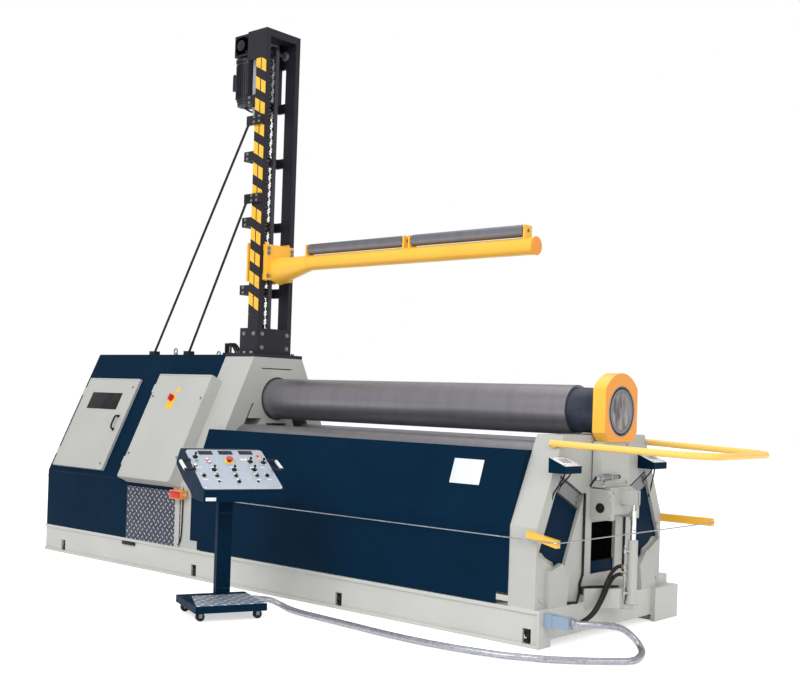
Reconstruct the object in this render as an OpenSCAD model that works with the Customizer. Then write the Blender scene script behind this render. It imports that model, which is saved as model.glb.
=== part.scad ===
// Four-roll plate bending machine. X runs along the rolls, Y to the back, Z up, floor at Z = 0.

/* [Rolls] */
// Working length of the rolls
roll_length = 3050; // [2000:10:4000]
// Diameter of the top roll
top_roll_d = 350; // [250:5:450]
// Diameter of the bottom roll
bottom_roll_d = 330; // [240:5:420]
// Height of the bottom roll's axis
bottom_roll_z = 1114; // [1000:1:1250]
// Gap between the top roll and the bottom roll at rest
roll_gap = 60; // [20:1:90]
// Diameter of the side rolls
side_roll_d = 270; // [200:5:350]
// Distance of a side roll's axis from the middle plane
side_roll_y = 355; // [320:1:400]
// Height of a side roll's axis above the bottom roll's
side_roll_rise = 46; // [0:1:80]
// Diameter of the side roll's round end bearings
side_bearing_d = 163; // [120:1:185]
// Diameter of the bottom roll's round end bearings
bottom_bearing_d = 240; // [200:1:270]
// Diameter of the top roll's journal on the free end
journal_d = 300; // [200:2:320]
// Thickness of the black sleeve on that journal
sleeve_t = 8; // [4:1:12]
// Diameter of the side rolls' inner journals
side_journal_d = 100; // [60:2:110]
// Diameter of the other rolls' drive journals
drive_journal_d = 140; // [90:2:180]

/* [Base frame] */
// Height of the base frame
base_h = 243; // [180:1:320]
// Width of a beam flange
flange_w = 140; // [100:5:180]
// Thickness of a beam flange
flange_t = 24; // [14:1:32]
// Thickness of a beam web
web_t = 20; // [10:1:30]
// Thickness of the plate that closes the base's right end
end_plate_t = 14; // [8:1:30]
// Diameter of a levelling bolt
bolt_d = 30; // [20:1:40]
// Width of the rear foot block across the machine
foot_block_w = 164; // [100:1:220]

/* [Housings] */
// Half the width of the housings at their foot
side_half_w = 820; // [700:1:920]
// Height of the kink where the sloped sides begin
kink_z = 762; // [640:1:900]
// Half the width of the drive housing at its top
drive_top_half_w = 290; // [240:1:360]
// Height of the drive housing above the top roll's axis
drive_crown = 358; // [300:1:450]
// Thickness of the drive housing
drive_t = 368; // [300:1:480]
// Thickness of the end housing
end_t = 207; // [160:1:260]
// Room between the rolls' end and the end housing
end_gap = 23; // [10:1:60]
// Half the width of the middle window of the end housing
window_half_w = 160; // [120:1:200]
// Height of that window's sill
window_z0 = 410; // [330:1:500]
// Height of that window's head
window_z1 = 760; // [600:1:860]

/* [Drop end] */
// Thickness of the bearing ring
ring_t = 99; // [60:1:130]
// Outer radius of the bearing ring
ring_r = 260; // [235:1:300]
// Half the width between the ring's flat sides
ring_half_w = 213; // [200:1:240]
// Height of the ring's underside below the roll's axis
ring_drop = 207; // [195:1:240]
// Distance of the hinge pin from the end housing's face
hinge_reach = 76; // [72:1:100]
// Height of the hinge pin
hinge_z = 864; // [800:1:970]
// Diameter of the hinge pin
hinge_pin_d = 64; // [40:2:74]
// Thickness of the upper drop arm
arm_t = 70; // [50:1:90]
// Half the width of the drop arm
arm_half_w = 185; // [165:1:210]
// Diameter of the tilt cylinder's barrel
tilt_barrel_d = 68; // [50:2:80]
// Diameter of the tilt cylinder's rod
tilt_rod_d = 36; // [24:2:42]

/* [Cabinet] */
// Length of the power cabinet along the machine
cabinet_l = 1905; // [1700:5:2300]
// Width of the cabinet door
door_w = 800; // [600:5:900]
// Height of the cabinet door along the slope
door_h = 928; // [800:1:1040]
// Thickness of the doors
door_t = 22; // [12:1:30]
// Radius of the doors' hinge knuckles
knuckle_r = 9; // [7:0.5:12]
// Width of the electrical box
ebox_w = 725; // [600:5:820]
// Length of the electrical box along the slope
ebox_h = 1010; // [900:5:1050]
// Depth of the electrical box
ebox_d = 100; // [80:1:160]

/* [Support mast] */
// Size of a mast post along the machine
post_w = 125; // [90:1:160]
// Distance of a post's outer face from the middle plane
mast_half_w = 205; // [185:1:235]
// Thickness of a post across the machine
post_t = 50; // [40:1:58]
// Height of the box that the mast's posts stand on
mast_box_h = 226; // [160:1:300]
// Top of the mast
mast_top_z = 4740; // [4250:10:5300]
// Height of the support arm's axis
arm_z = 2690; // [2550:5:3200]
// Outer diameter of the support arm's tube
arm_tube_d = 128; // [100:2:160]
// Free end of the support arm
arm_tip_x = 1138; // [900:1:1400]
// Diameter of the support rollers
support_roller_d = 92; // [70:1:120]

/* [Covers and guard rail] */
// Thickness of the sheet covers
cover_t = 6; // [3:1:10]
// Height of the covers' top edge above the bottom roll's axis
cover_top = 129; // [90:1:160]
// Distance of the covers' top edge outside the housings' slope
cover_stand = 62; // [30:1:80]
// Diameter of the guard rail tube
rail_d = 44; // [30:1:60]
// Reach of the guard rail past the end housing
rail_reach = 985; // [900:1:1300]
// Drop of the guard rail over its length
rail_drop = 34; // [0:1:80]
// How far each side of the rail turns inwards, in degrees
rail_toe = 6.2; // [0:0.1:12]
// Bend radius of the guard rail's corners
rail_bend = 220; // [100:5:300]

/* [Console] */
// Width of the console's foot
foot_w = 510; // [400:5:600]
// Depth of the console's foot
foot_d = 490; // [400:5:600]
// Width of the console's head
head_w = 566; // [450:2:650]
// Turn of the console about the upright
console_turn = 67; // [0:1:90]

/* [Hidden] */
// clearances
run_gap = 0.5;
slide_gap = 0.5;
seat_gap = 0.3;
// rolls
top_roll_r = top_roll_d / 2;
bottom_roll_r = bottom_roll_d / 2;
side_roll_r = side_roll_d / 2;
side_bearing_r = side_bearing_d / 2;
bottom_bearing_r = bottom_bearing_d / 2;
journal_r = journal_d / 2;
sleeve_r = journal_r + sleeve_t;
top_roll_z = bottom_roll_z + bottom_roll_r + roll_gap + top_roll_r;
side_roll_z = bottom_roll_z + side_roll_rise;
// housings along X
drive_x1 = -roll_length / 2;
drive_x0 = drive_x1 - drive_t;
end_x0 = roll_length / 2 + end_gap;
end_x1 = end_x0 + end_t;
drive_top_z = top_roll_z + drive_crown;
end_top_z = top_roll_z - sleeve_r - 8;
slope_angle = atan((side_half_w - drive_top_half_w) / (drive_top_z - kink_z));
slope_k = tan(slope_angle);
bearing_l = 155;
recess_l = bearing_l + 25;
slot_wall = 50;
slot_roof = 20;
recess_t = 30;
roll_x0 = drive_x1 - 30;
roll_x1 = roll_length / 2;
// base and cabinet along X
cabinet_x0 = drive_x0 - cabinet_l;
base_half_w = side_half_w + 1;
base_x0 = cabinet_x0 - 22;
base_x1 = end_x1 + 35;
web_y = 14;
hole_y = 100;
cross_w = 200;
cross_x = [base_x0 + 100, base_x0 + 1100, drive_x1 - 275, -100, base_x1 - end_plate_t - cross_w];
bolt_x = [base_x0 + 293, drive_x1 - 88, 45, base_x1 - 99];
hole_x = [-3300, 1300];
door_x0 = cabinet_x0 + 60;
ebox_x0 = drive_x0 - 640;
switch_x = ebox_x0 + 304;
// drop end
ring_x0 = end_x1 + 14;
ring_x1 = ring_x0 + ring_t;
ring_z0 = top_roll_z - ring_drop;
ring_bore_r = sleeve_r + 7;
hinge_x = end_x1 + hinge_reach;
hinge_eye_r = hinge_pin_d / 2 + 32;
lug_r = 131;
arm_x0 = end_x1 + 10;
arm_x1 = arm_x0 + arm_t;
arm_z0 = hinge_z + lug_r + 5;
tongue_half_w = arm_half_w - 38;
tongue_x1 = hinge_x + 56;
tilt_x = hinge_x + 150;
tilt_stroke = 205;
shelf_z = 190;
shelf_t = 32;
barrel_z0 = shelf_z + shelf_t;
eye_t = 20;
tray_x1 = tilt_x - tilt_barrel_d / 2 - 2;
// mast
mast_x1 = drive_x1 - 65;
mast_x0 = mast_x1 - post_w;
tie_x0 = mast_x0 - 121;
tie_h = 85;
mast_z0 = drive_top_z + 30 + mast_box_h;
head_h = 240;
motor_l = 410;
tie_shares = [0.112, 0.341, 0.564, 0.755];
function mast_z(share) = mast_z0 + share * (mast_top_z - mast_z0);
chain_x = mast_x0 - 1;
chain_r = 46;
sprocket_z = mast_top_z - 140;
// support arm
arm_root_x = mast_x1 + 45;
arm_cone_x = arm_root_x + 369;
arm_tube_r = arm_tube_d / 2;
roller_r = support_roller_d / 2;
roller_z = arm_z + arm_tube_r + roller_r + 6;
roller_gap = 91;
roller_x0 = arm_cone_x + 11;
roller_l = (arm_tip_x - 98 - roller_x0 - roller_gap) / 2;
// covers
cover_top_z = bottom_roll_z + cover_top;
cover_top_y = side_half_w - (cover_top_z - kink_z) * slope_k + cover_stand;
console_p = [-97, -1714];
conduit_d = 44;
function console_pt(x, y, z) = [console_p[0] + x * cos(console_turn) - y * sin(console_turn),
    console_p[1] + x * sin(console_turn) + y * cos(console_turn), z];
conduit_pts = [[base_x1 + 178 + seat_gap, -716, 186], [2024, -716, 186], [2084, -698, 190], [2131, -658, 188],
    [2159, -585, 180], [2177, -517, 166], [2192, -460, 143], [2216, -424, 112], [2246, -408, 80],
    [2280, -416, 48], [2320, -465, 28], [2359, -560, 24], [2384, -645, 24], [2386, -712, 24],
    [2345, -781, 24], [2242, -895, 24], [2132, -997, 24], [2014, -1086, 24], [1889, -1150, 24],
    [1780, -1200, 24], [1500, -1262, 24], [1200, -1290, 24],
    [900, -1285, 24], [600, -1260, 24], [320, -1240, 24], [90, -1220, 24], [-60, -1200, 28],
    [-160, -1202, 48], [-222, -1242, 74], console_pt(foot_w / 2 + 50, 300, 85),
    console_pt(foot_w / 2, 300, 85)];

// ---- helpers ----

// A solid bar along X from x0 to x1
module xcyl(r, x0, x1) translate([x0, 0, 0]) rotate([0, 90, 0]) cylinder(h = x1 - x0, r = r, $fn = 48);

// A plate across X whose outline is given as [y, z] pairs
module xplate(x0, x1, pts) translate([x0, 0, 0]) rotate([90, 0, 90]) linear_extrude(x1 - x0) polygon(pts);

// A box from one corner to the other
module box(a, b) translate(a) cube(b - a);

// Places children on the front slope: x along X, y up the slope, z outwards
module on_slope() translate([0, -side_half_w, kink_z]) rotate([90 - slope_angle, 0, 0]) children();

// Both sides of the middle plane
module both_sides() {
    children();
    mirror([0, 1, 0]) children();
}

// The housing outline up to a height
function slope_y(z) = side_half_w - (z - kink_z) * slope_k;
function outline(top) = [[-side_half_w, base_h], [side_half_w, base_h], [side_half_w, kink_z],
    [slope_y(top), top], [-slope_y(top), top], [-side_half_w, kink_z]];

// The inclined path of the front side roll
function guide_y(z) = -side_roll_y + (z - side_roll_z) * slope_k;
slot_half = (side_bearing_r + slide_gap) / cos(slope_angle);

// The inclined slot for a front side roll's bearing, up to a height
slot_z0 = side_roll_z - 200;
slot_z1 = side_roll_z + 182;
function side_slot(top) = [[guide_y(slot_z0) - slot_half, slot_z0], [guide_y(slot_z0) + slot_half, slot_z0],
    [guide_y(top) + slot_half, top], [guide_y(top) - slot_half, top]];

// A narrow slit runs on above the drive side's slots
slit_w = 24;
slit_y = slot_half - 2;
slit_z = slot_z1 + 129;
function slit() = [for (p = [[slot_z1 - 7, 0], [slot_z1 - 7, slit_w], [slit_z, slit_w], [slit_z, 0]])
    [guide_y(p[0]) - slit_y + p[1], p[0]]];

// A point beside the guide path: along it and across it
function guide_pt(s, w) = [-side_roll_y + s * sin(slope_angle) + w * cos(slope_angle),
    side_roll_z + s * cos(slope_angle) - w * sin(slope_angle)];
function guide_box(s0, s1, w0, w1) = [guide_pt(s0, w0), guide_pt(s0, w1), guide_pt(s1, w1), guide_pt(s1, w0)];

// A round bar between two points
module bar(a, b, r) {
    v = b - a;
    translate(a) rotate([0, acos(v[2] / norm(v)), atan2(v[1], v[0])]) cylinder(h = norm(v), r = r, $fn = 24);
}

// A bent pipe through a list of points
module pipe(p, r, swell = 1.2, turned = false) {
    for (i = [0 : len(p) - 2]) bar(p[i], p[i + 1], r);
    for (i = [1 : len(p) - 2]) let(v = p[i + 1] - p[i - 1]) translate(p[i])
        rotate(turned ? [0, acos(v[2] / norm(v)), atan2(v[1], v[0])] : [0, 0, 0]) sphere(r = r * swell, $fn = 24);
}

// A tube swept along points, for the flexible conduit
function vlast(p) = len(p) - 1;
function tangent(p, i) = let(d = p[min(i + 1, vlast(p))] - p[max(i - 1, 0)]) d / norm(d);
function sweep_ring(p, i, r, n) = let(t = tangent(p, i), s = cross(t, [0, 0, 1]), a = s / norm(s),
    b = cross(a, t)) [for (k = [0 : n - 1]) p[i] + r * (cos(360 * k / n) * a + sin(360 * k / n) * b)];
module sweep(p, r, n = 10) polyhedron(
    points = [for (i = [0 : vlast(p)]) each sweep_ring(p, i, r, n)],
    faces = concat([[for (k = [0 : n - 1]) k]], [[for (k = [n - 1 : -1 : 0]) vlast(p) * n + k]],
        [for (i = [0 : vlast(p) - 1], k = [0 : n - 1])
            [i * n + k, (i + 1) * n + k, (i + 1) * n + (k + 1) % n, i * n + (k + 1) % n]]));

// ---- base ----

module beam() difference() {
    y0 = -base_half_w;
    union() {
        box([base_x0, y0, 0], [base_x1 - end_plate_t, y0 + flange_w, flange_t]);
        box([base_x0, y0, base_h - flange_t], [base_x1 - end_plate_t, y0 + flange_w, base_h]);
        box([base_x0, y0 + web_y, flange_t], [base_x1 - end_plate_t, y0 + web_y + web_t, base_h - flange_t]);
    }
    // pockets for the levelling bolts, and the anchor holes behind the web
    for (x = bolt_x) box([x - 32, y0 + web_y - 1, flange_t], [x + 32, y0 + web_y + web_t + 1, base_h - 125]);
    for (x = hole_x) translate([x, y0 + hole_y, -1]) cylinder(h = flange_t + 2, r = 14, $fn = 32);
}

module base_beam_front() color("#cdcdc6") beam();
module base_beam_rear() color("#cdcdc6") mirror([0, 1, 0]) beam();

module base_crossmembers() color("#cdcdc6") {
    y = base_half_w - flange_w;
    end_z = 2 * flange_t;
    for (x = cross_x) box([x, -y, x == cross_x[4] ? end_z : 0], [x + cross_w, y, base_h]);
    xplate(base_x1 - end_plate_t, base_x1, [[-base_half_w, 0], [-y, 0], [-y, end_z], [y, end_z], [y, 0],
        [base_half_w, 0], [base_half_w, base_h], [-base_half_w, base_h]]);
}

module levelling_bolts() color("#151518") both_sides() for (x = bolt_x)
    translate([x, -base_half_w + 42, flange_t]) {
        cylinder(h = 90, r = bolt_d / 2, $fn = 24);
        cylinder(h = 24, r = bolt_d * 0.85, $fn = 6);
    }

module rear_foot_block() color("#c6c6be") {
    y1 = base_half_w + foot_block_w;
    box([base_x1 - 230, base_half_w, 0], [base_x1 + 36, y1, base_h - 3]);
    box([base_x1, base_half_w - 181, 0], [base_x1 + 36, base_half_w + 1, base_h - 3]);
    box([base_x1 - 200, base_half_w + 10, base_h - 4], [base_x1 - 40, y1 - 30, base_h + 67]);
}

// ---- housings ----

module drive_housing() color("#cdcdc6") difference() {
    xplate(drive_x0, drive_x1, outline(drive_top_z));
    translate([0, 0, top_roll_z]) {
        xcyl(top_roll_r + 14, drive_x1 - 60, drive_x1 + 1);
        xcyl(drive_journal_d / 2 + 40 + run_gap, drive_x0 - 1, drive_x1);
    }
    both_sides() {
        xplate(drive_x1 - recess_l, drive_x1 + 1, side_slot(slot_z1));
        xplate(drive_x1 - 60, drive_x1 + 1, slit());
    }
    bearing_slot(drive_x1 - recess_l, drive_x1 + 1);
    box([drive_x1 - 60, -195, drive_top_z - 102], [drive_x1 + 1, 167, drive_top_z - 92]);
}

// The upright slot that guides the bottom roll's bearing
module bearing_slot(x0, x1) box([x0, -bottom_bearing_r - slide_gap, bottom_roll_z - 184],
    [x1, bottom_bearing_r + slide_gap, bottom_roll_z + 186]);

module end_housing() color("#cdcdc6") difference() {
    xplate(end_x0, end_x1, outline(end_top_z));
    both_sides() {
        xplate(end_x0 - 1, end_x1 - slot_wall, side_slot(end_top_z - slot_roof));
        xplate(end_x1 - recess_t, end_x1 + 1, guide_box(-712, -150, -157, 167));
    }
    bearing_slot(end_x0 - 1, end_x1 - slot_wall);
    box([end_x0 - 1, -window_half_w, window_z0], [end_x1 + 1, window_half_w, window_z1]);
}

// Lugs for the hinge pin, and the tray that the tilt cylinder stands on
module end_brackets() color("#c6c6be") {
    both_sides() difference() {
        translate([0, -arm_half_w + 35, 0]) rotate([90, 0, 0]) linear_extrude(35) polygon([[end_x1, hinge_z - 78],
            [hinge_x + 89, hinge_z - 78], [hinge_x + 89, hinge_z + 81], [hinge_x + 54, hinge_z + 118],
            [hinge_x, hinge_z + 127], [end_x1, hinge_z + 127]]);
        translate([hinge_x, 0, hinge_z]) rotate([90, 0, 0]) cylinder(h = 400, r = hinge_pin_d / 2, $fn = 48);
    }
    translate([0, 0, shelf_z + 10]) linear_extrude(base_h + 87 - shelf_z - 10)
        polygon([[base_x1, -290], [tray_x1, -90], [tray_x1, 90], [base_x1, 290]]);
    box([end_x1, -290, base_h], [base_x1 + 1, 290, base_h + 87]);
    box([tray_x1 - 20, -40, shelf_z], [tilt_x + tilt_barrel_d / 2 + 3, 40, barrel_z0]);
}

module hinge_pin() color("#2a2a2e") translate([hinge_x, arm_half_w - 2, hinge_z]) rotate([90, 0, 0])
    cylinder(h = 2 * arm_half_w - 4, r = hinge_pin_d / 2, $fn = 48);

// The foot of each side roll's lift cylinder, below the shield
module guide_covers() color("#cdcdc6") both_sides() {
    xplate(end_x1, end_x1 + 34, [[-side_half_w + 120, base_h], [-side_half_w + 320, base_h],
        [-side_half_w + 350, base_h + 177], [-side_half_w + 260, base_h + 277],
        [-side_half_w + 120, base_h + 237]]);
}

module guide_straps() color("#6a6a70") both_sides()
    xplate(end_x1 - recess_t + seat_gap, end_x1 - 8, guide_box(-265, -160 - seat_gap, -150, 152));

module guide_shields() color("#0a2d4b") both_sides() xplate(end_x1 - recess_t + seat_gap, end_x1 - 20,
    [guide_pt(-265 - seat_gap, -150), guide_pt(-265 - seat_gap, 160), guide_pt(-702, 160), guide_pt(-696, 110),
     guide_pt(-672, 70), guide_pt(-678, -30), guide_pt(-664, -90), guide_pt(-690, -150)]);

// Terminal boxes with sloping lids
module terminal_boxes() color("#0a2d4b") for (y = [-side_roll_y - 166, side_roll_y + 285])
    translate([end_x1 + seat_gap, y, side_roll_z - 50]) rotate([90, 0, 0]) linear_extrude(191)
        polygon([[0, 0], [129, 0], [129, 46], [0, 98]]);

// Oil pipes on the outside of the end housing and over the tray
module side_pipes() color("#101012") {
    x = end_x1 + 10;
    corner = guide_pt(-160, 150);
    y = corner[0] + 17;
    z = base_h + 97;
    pipe([[x, y, corner[1] + 11], [x, y, base_h + 177], [x, -305, base_h + 117], [x, -305, base_h + 60],
        [base_x1 + 12, -side_half_w + 420, base_h + 10], [base_x1 - 20, -side_half_w + 350, base_h + 10]], 8);
    pipe([[x + 22, -310, base_h + 50], [x + 22, -310, z], [x + 35, -240, z], [tray_x1 - 30, -60, z]], 8);
    pipe([[x - 1.6, -y, corner[1] - 47], [x - 1.6, -y, base_h + 150]], 8);
}

// ---- power cabinet ----

module power_cabinet() color("#06253f") difference() {
    xplate(cabinet_x0, drive_x0, outline(drive_top_z + 18));
    on_slope() box([door_x0 + 30, 80, -260], [door_x0 + door_w - 30, 20 + door_h, 1]);
}

// A door that covers w by h from the point (x, y) at height z, with two hinge knuckles on its left edge
module door(x, y, z, w, h) on_slope() {
    box([x, y, z + seat_gap], [x + w, y + h, z + seat_gap + door_t]);
    for (k = [y + 110, y + h - 190]) translate([x, k, z + door_t + 2]) rotate([-90, 0, 0])
        cylinder(h = 80, r = knuckle_r, $fn = 32);
}

module cabinet_door() color("#cdcdc6") door(door_x0, 50, 0, door_w, door_h);
module electrical_door() color("#d2d2cb") door(ebox_x0, -25, ebox_d, ebox_w, ebox_h);

module electrical_box() color("#cdcdc6") on_slope() difference() {
    box([ebox_x0, -25, seat_gap], [ebox_x0 + ebox_w, ebox_h - 25, ebox_d]);
    box([ebox_x0 + 15, -10, 5], [ebox_x0 + ebox_w - 15, ebox_h - 40, ebox_d + 1]);
}

module main_switch() color("#c8201c") on_slope()
    translate([switch_x, 750, ebox_d + 2 * seat_gap + door_t]) {
        cylinder(h = 14, r = 30, $fn = 32);
        box([-9, -27, 13], [9, 27, 36]);
    }

module tread_panel() color("#78788c")
    box([ebox_x0 + 2, -side_half_w - 8, base_h + 3], [drive_x0 + 100, -side_half_w, kink_z - 54]);

// Lifting eyes on the cabinet's top
module lifting_eyes() color("#3c3c42") both_sides()
    translate([ebox_x0 - 100, -drive_top_half_w + 30, drive_top_z + 18]) {
    cylinder(h = 12, r = 18, $fn = 32);
    translate([0, 0, 33]) rotate([90, 0, 0]) rotate_extrude($fn = 32) translate([22, 0]) circle(r = 7, $fn = 24);
}

// ---- covers ----

module cover_profile() difference() {
    y0 = -side_half_w;
    union() {
        xplate(drive_x1 - 125, end_x0, [[y0 - cover_t, base_h + 7], [y0, base_h + 7], [y0, kink_z],
            [-cover_top_y, cover_top_z], [-cover_top_y - cover_t, cover_top_z], [y0 - cover_t, kink_z]]);
        // folded end plate stands against the end housing
        xplate(end_x0 - cover_t, end_x0, [[y0, base_h + 87], [y0, kink_z], [-cover_top_y, cover_top_z],
            [-cover_top_y + 70, cover_top_z], [-cover_top_y + 70, cover_top_z - 63], [y0 + 60, kink_z],
            [y0 + 60, base_h + 87]]);
    }
    box([drive_x1 - 126, y0 - 80, base_h - 3], [drive_x1 - 35, y0 + 120, base_h + 77]);
    box([end_x0 - 93, y0 - 80, base_h - 3], [end_x0 + 1, y0 + 120, base_h + 82]);
}

module front_cover() color("#0a2d4b") cover_profile();
module rear_cover() color("#0a2d4b") mirror([0, 1, 0]) cover_profile();

// ---- rolls ----

module top_roll() color("#737378") translate([0, 0, top_roll_z]) {
    xcyl(top_roll_r, roll_x0, roll_x1);
    xcyl(drive_journal_d / 2 + 40, drive_x0 + 10, roll_x0);
    xcyl(journal_r, roll_x1, ring_x1);
}

module roll_sleeve() color("#1a1a1c") translate([0, 0, top_roll_z]) difference() {
    xcyl(sleeve_r, roll_x1, ring_x1);
    xcyl(journal_r, roll_x1 - 1, ring_x1 + 1);
}

// A lower roll with a journal at each end, and its round end bearings
bearing_x0 = drive_x1 - 20 - bearing_l;
bearing_x1 = end_x1 - slot_wall - 10;
module lower_roll(r, jr) {
    xcyl(r, drive_x1 + 5, roll_x1);
    xcyl(jr, bearing_x0, bearing_x1);
}
module end_bearings(br, jr) difference() {
    union() {
        xcyl(br, bearing_x0, bearing_x0 + bearing_l);
        xcyl(br, end_x0 + 10, bearing_x1);
    }
    xcyl(jr + run_gap, bearing_x0 - 1, bearing_x1 + 1);
}

bottom_journal_r = drive_journal_d / 2;
side_journal_r = side_journal_d / 2;
module at_side(s) translate([0, s * side_roll_y, side_roll_z]) children();
module bottom_roll() color("#737378") translate([0, 0, bottom_roll_z]) lower_roll(bottom_roll_r, bottom_journal_r);
module bottom_roll_bearings() color("#8a8a8e") translate([0, 0, bottom_roll_z])
    end_bearings(bottom_bearing_r, bottom_journal_r);
module side_roll_front() color("#737378") at_side(-1) lower_roll(side_roll_r, side_journal_r);
module side_bearings_front() color("#8a8a8e") at_side(-1) end_bearings(side_bearing_r, side_journal_r);
module side_roll_rear() color("#737378") at_side(1) lower_roll(side_roll_r, side_journal_r);
module side_bearings_rear() color("#8a8a8e") at_side(1) end_bearings(side_bearing_r, side_journal_r);

// ---- drop end ----

module drop_ring() color("#f0a03c") difference() {
    w = ring_half_w;
    union() {
        intersection() {
            translate([0, 0, top_roll_z]) xcyl(ring_r, ring_x0, ring_x1);
            box([ring_x0, -w, top_roll_z - 1], [ring_x1, w, top_roll_z + ring_r]);
        }
        xplate(ring_x0, ring_x1, [[-w, top_roll_z], [-w, ring_z0 + 60], [-w + 60, ring_z0],
            [w - 60, ring_z0], [w, ring_z0 + 60], [w, top_roll_z]]);
    }
    translate([0, 0, top_roll_z]) xcyl(ring_bore_r, ring_x0 - 1, ring_x1 + 1);
}

module drop_arm() color("#cdcdc6") difference() {
    union() {
        box([arm_x0, -arm_half_w, arm_z0], [arm_x1, arm_half_w, ring_z0]);
        translate([0, tongue_half_w, 0]) rotate([90, 0, 0]) linear_extrude(2 * tongue_half_w)
            polygon([[hinge_x - 60, hinge_z - 6], [tongue_x1, hinge_z - 6], [tongue_x1, arm_z0 + 1],
                [hinge_x - 60, arm_z0 + 1]]);
        translate([hinge_x, tongue_half_w, hinge_z]) rotate([90, 0, 0])
            cylinder(h = 2 * tongue_half_w, r = hinge_eye_r, $fn = 48);
        // fork for the tilt cylinder's rod eye
        both_sides() box([tongue_x1 - 1, eye_t / 2 + 2, hinge_z + 26],
            [tilt_x + 33, eye_t / 2 + 14, hinge_z + 121]);
    }
    translate([hinge_x, 250, hinge_z]) rotate([90, 0, 0])
        cylinder(h = 500, r = hinge_pin_d / 2 + run_gap, $fn = 48);
}

// Valve on the outer face of the drop arm, with its pipe
module arm_valve() color("#5a6e82") {
    z = hinge_z + 206;
    box([arm_x1, -arm_half_w + 15, z - 22], [arm_x1 + 12, -arm_half_w + 85, z + 22]);
    translate([arm_x1 + 20, -arm_half_w + 86, z]) rotate([90, 0, 0]) cylinder(h = 190, r = 18, $fn = 32);
    translate([arm_x1 + 20, -arm_half_w + 190, z]) rotate([90, 0, 0]) cylinder(h = 105, r = 13, $fn = 32);
}

module tilt_barrel() color("#cdcdc6") translate([tilt_x, 0, barrel_z0]) difference() {
    h = hinge_z - 213 - barrel_z0;
    cylinder(h = h, r = tilt_barrel_d / 2, $fn = 40);
    translate([0, 0, 20]) cylinder(h = h, r = tilt_rod_d / 2 + run_gap, $fn = 40);
}

module tilt_rod() color("#c8c8cc") translate([tilt_x, 0, 0]) {
    rod_z0 = barrel_z0 + 28 + tilt_stroke;
    translate([0, 0, rod_z0]) cylinder(h = hinge_z - 14 - rod_z0, r = tilt_rod_d / 2, $fn = 40);
    translate([0, 0, hinge_z - 15]) cylinder(h = 70, r = 8, $fn = 24);
    translate([0, eye_t / 2, hinge_z + 76]) rotate([90, 0, 0]) cylinder(h = eye_t, r = 28, $fn = 32);
}

// ---- guard rail and pull rope ----

module guard_rail() color("#fabe46") {
    r = rail_d / 2;
    swell = 1.04;
    root_x = end_x1 - 65;
    reach = rail_reach + 65;
    root_z = end_top_z - 30 - r;
    tilt = atan(rail_drop / reach);
    y = slope_y(root_z - 65 * tan(tilt)) + (r + seat_gap) / cos(slope_angle);
    // each side bar turns in a little past the housing, then the corner follows in short steps
    x0 = 80;
    bend_x = reach - rail_bend * (1 - sin(rail_toe));
    bend_y = -y + (bend_x - x0) * tan(rail_toe);
    end_y = -bend_y - rail_bend * cos(rail_toe);
    steps = 7;
    side = concat([[0, -y, 0], [x0, -y, 0]], [for (k = [0 : steps]) let(t = rail_toe + (90 - rail_toe) * k / steps)
        [reach - rail_bend + rail_bend * sin(t), -end_y - rail_bend * cos(t), 0]]);
    last = len(side) - 1;
    translate([root_x, 0, root_z]) rotate([0, tilt, 0])
        pipe(concat(side, [for (i = [last : -1 : 0]) [side[i][0], -side[i][1], 0]]), r, swell, true);
}

rope_z = 690;
rope_x = end_x1 + 187;
rope_rear_x = end_x1 + 398;
module rope_brackets() color("#f0a03c") {
    translate([end_x1, -side_half_w, rope_z]) rotate([90, 0, 0]) linear_extrude(46)
        polygon([[-51, 14], [173, -34], [173, 13], [-51, 51]]);
    box([end_x1 - 41, side_half_w, rope_z + 20], [rope_rear_x, side_half_w + 46, rope_z + 75]);
}

module pull_rope() color("#6e6e78") {
    y = -side_half_w - 50.3;
    pipe([[drive_x1 - 174.7, y, rope_z], [rope_x, y, rope_z], [rope_rear_x + 8.6, side_half_w + 30, rope_z + 47]], 4);
}

module pull_switch() color("#dc5a28")
    box([drive_x1 - 325, -side_half_w - 78, rope_z - 35], [drive_x1 - 175, -side_half_w - 8.3, rope_z + 35]);

// ---- support mast ----

module mast_foot() color("#2d2a34") {
    w = mast_half_w;
    box([drive_x0, -drive_top_half_w, drive_top_z], [drive_x1, drive_top_half_w, drive_top_z + 30]);
    box([tie_x0 + 24, -w, drive_top_z + 29], [mast_x1, w, mast_z0]);
}

module mast_post(s) {
    y0 = s > 0 ? mast_half_w - post_t : -mast_half_w;
    box([mast_x0, y0, mast_z0], [mast_x1, y0 + post_t, mast_top_z]);
}
module mast_post_front() color("#2d2a34") mast_post(-1);
module mast_post_rear() color("#2d2a34") mast_post(1);

// Cap, back plate and side plates that carry the chain's sprocket and the gearbox
module mast_head() color("#2d2a34") {
    w = mast_half_w;
    box([tie_x0 + 2, -w, mast_top_z], [mast_x1, w, mast_top_z + 16]);
    box([tie_x0 + 2, -w, mast_z(tie_shares[3]) + tie_h + 5], [tie_x0 + 21, w, mast_top_z + 1]);
    both_sides() box([tie_x0 + 20, -w, mast_top_z - head_h], [mast_x0, -w + 20, mast_top_z + 1]);
    box([mast_x0 - 15, -w + post_t, mast_top_z - 50], [mast_x1, w - post_t, mast_top_z + 1]);
}

module mast_ties() color("#2d2a34") for (share = tie_shares) {
    z = mast_z(share);
    box([tie_x0, -mast_half_w, z], [tie_x0 + 24, mast_half_w, z + tie_h]);
    both_sides() box([tie_x0 + 23, -mast_half_w, z], [mast_x0, -mast_half_w + 25, z + tie_h]);
}

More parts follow.
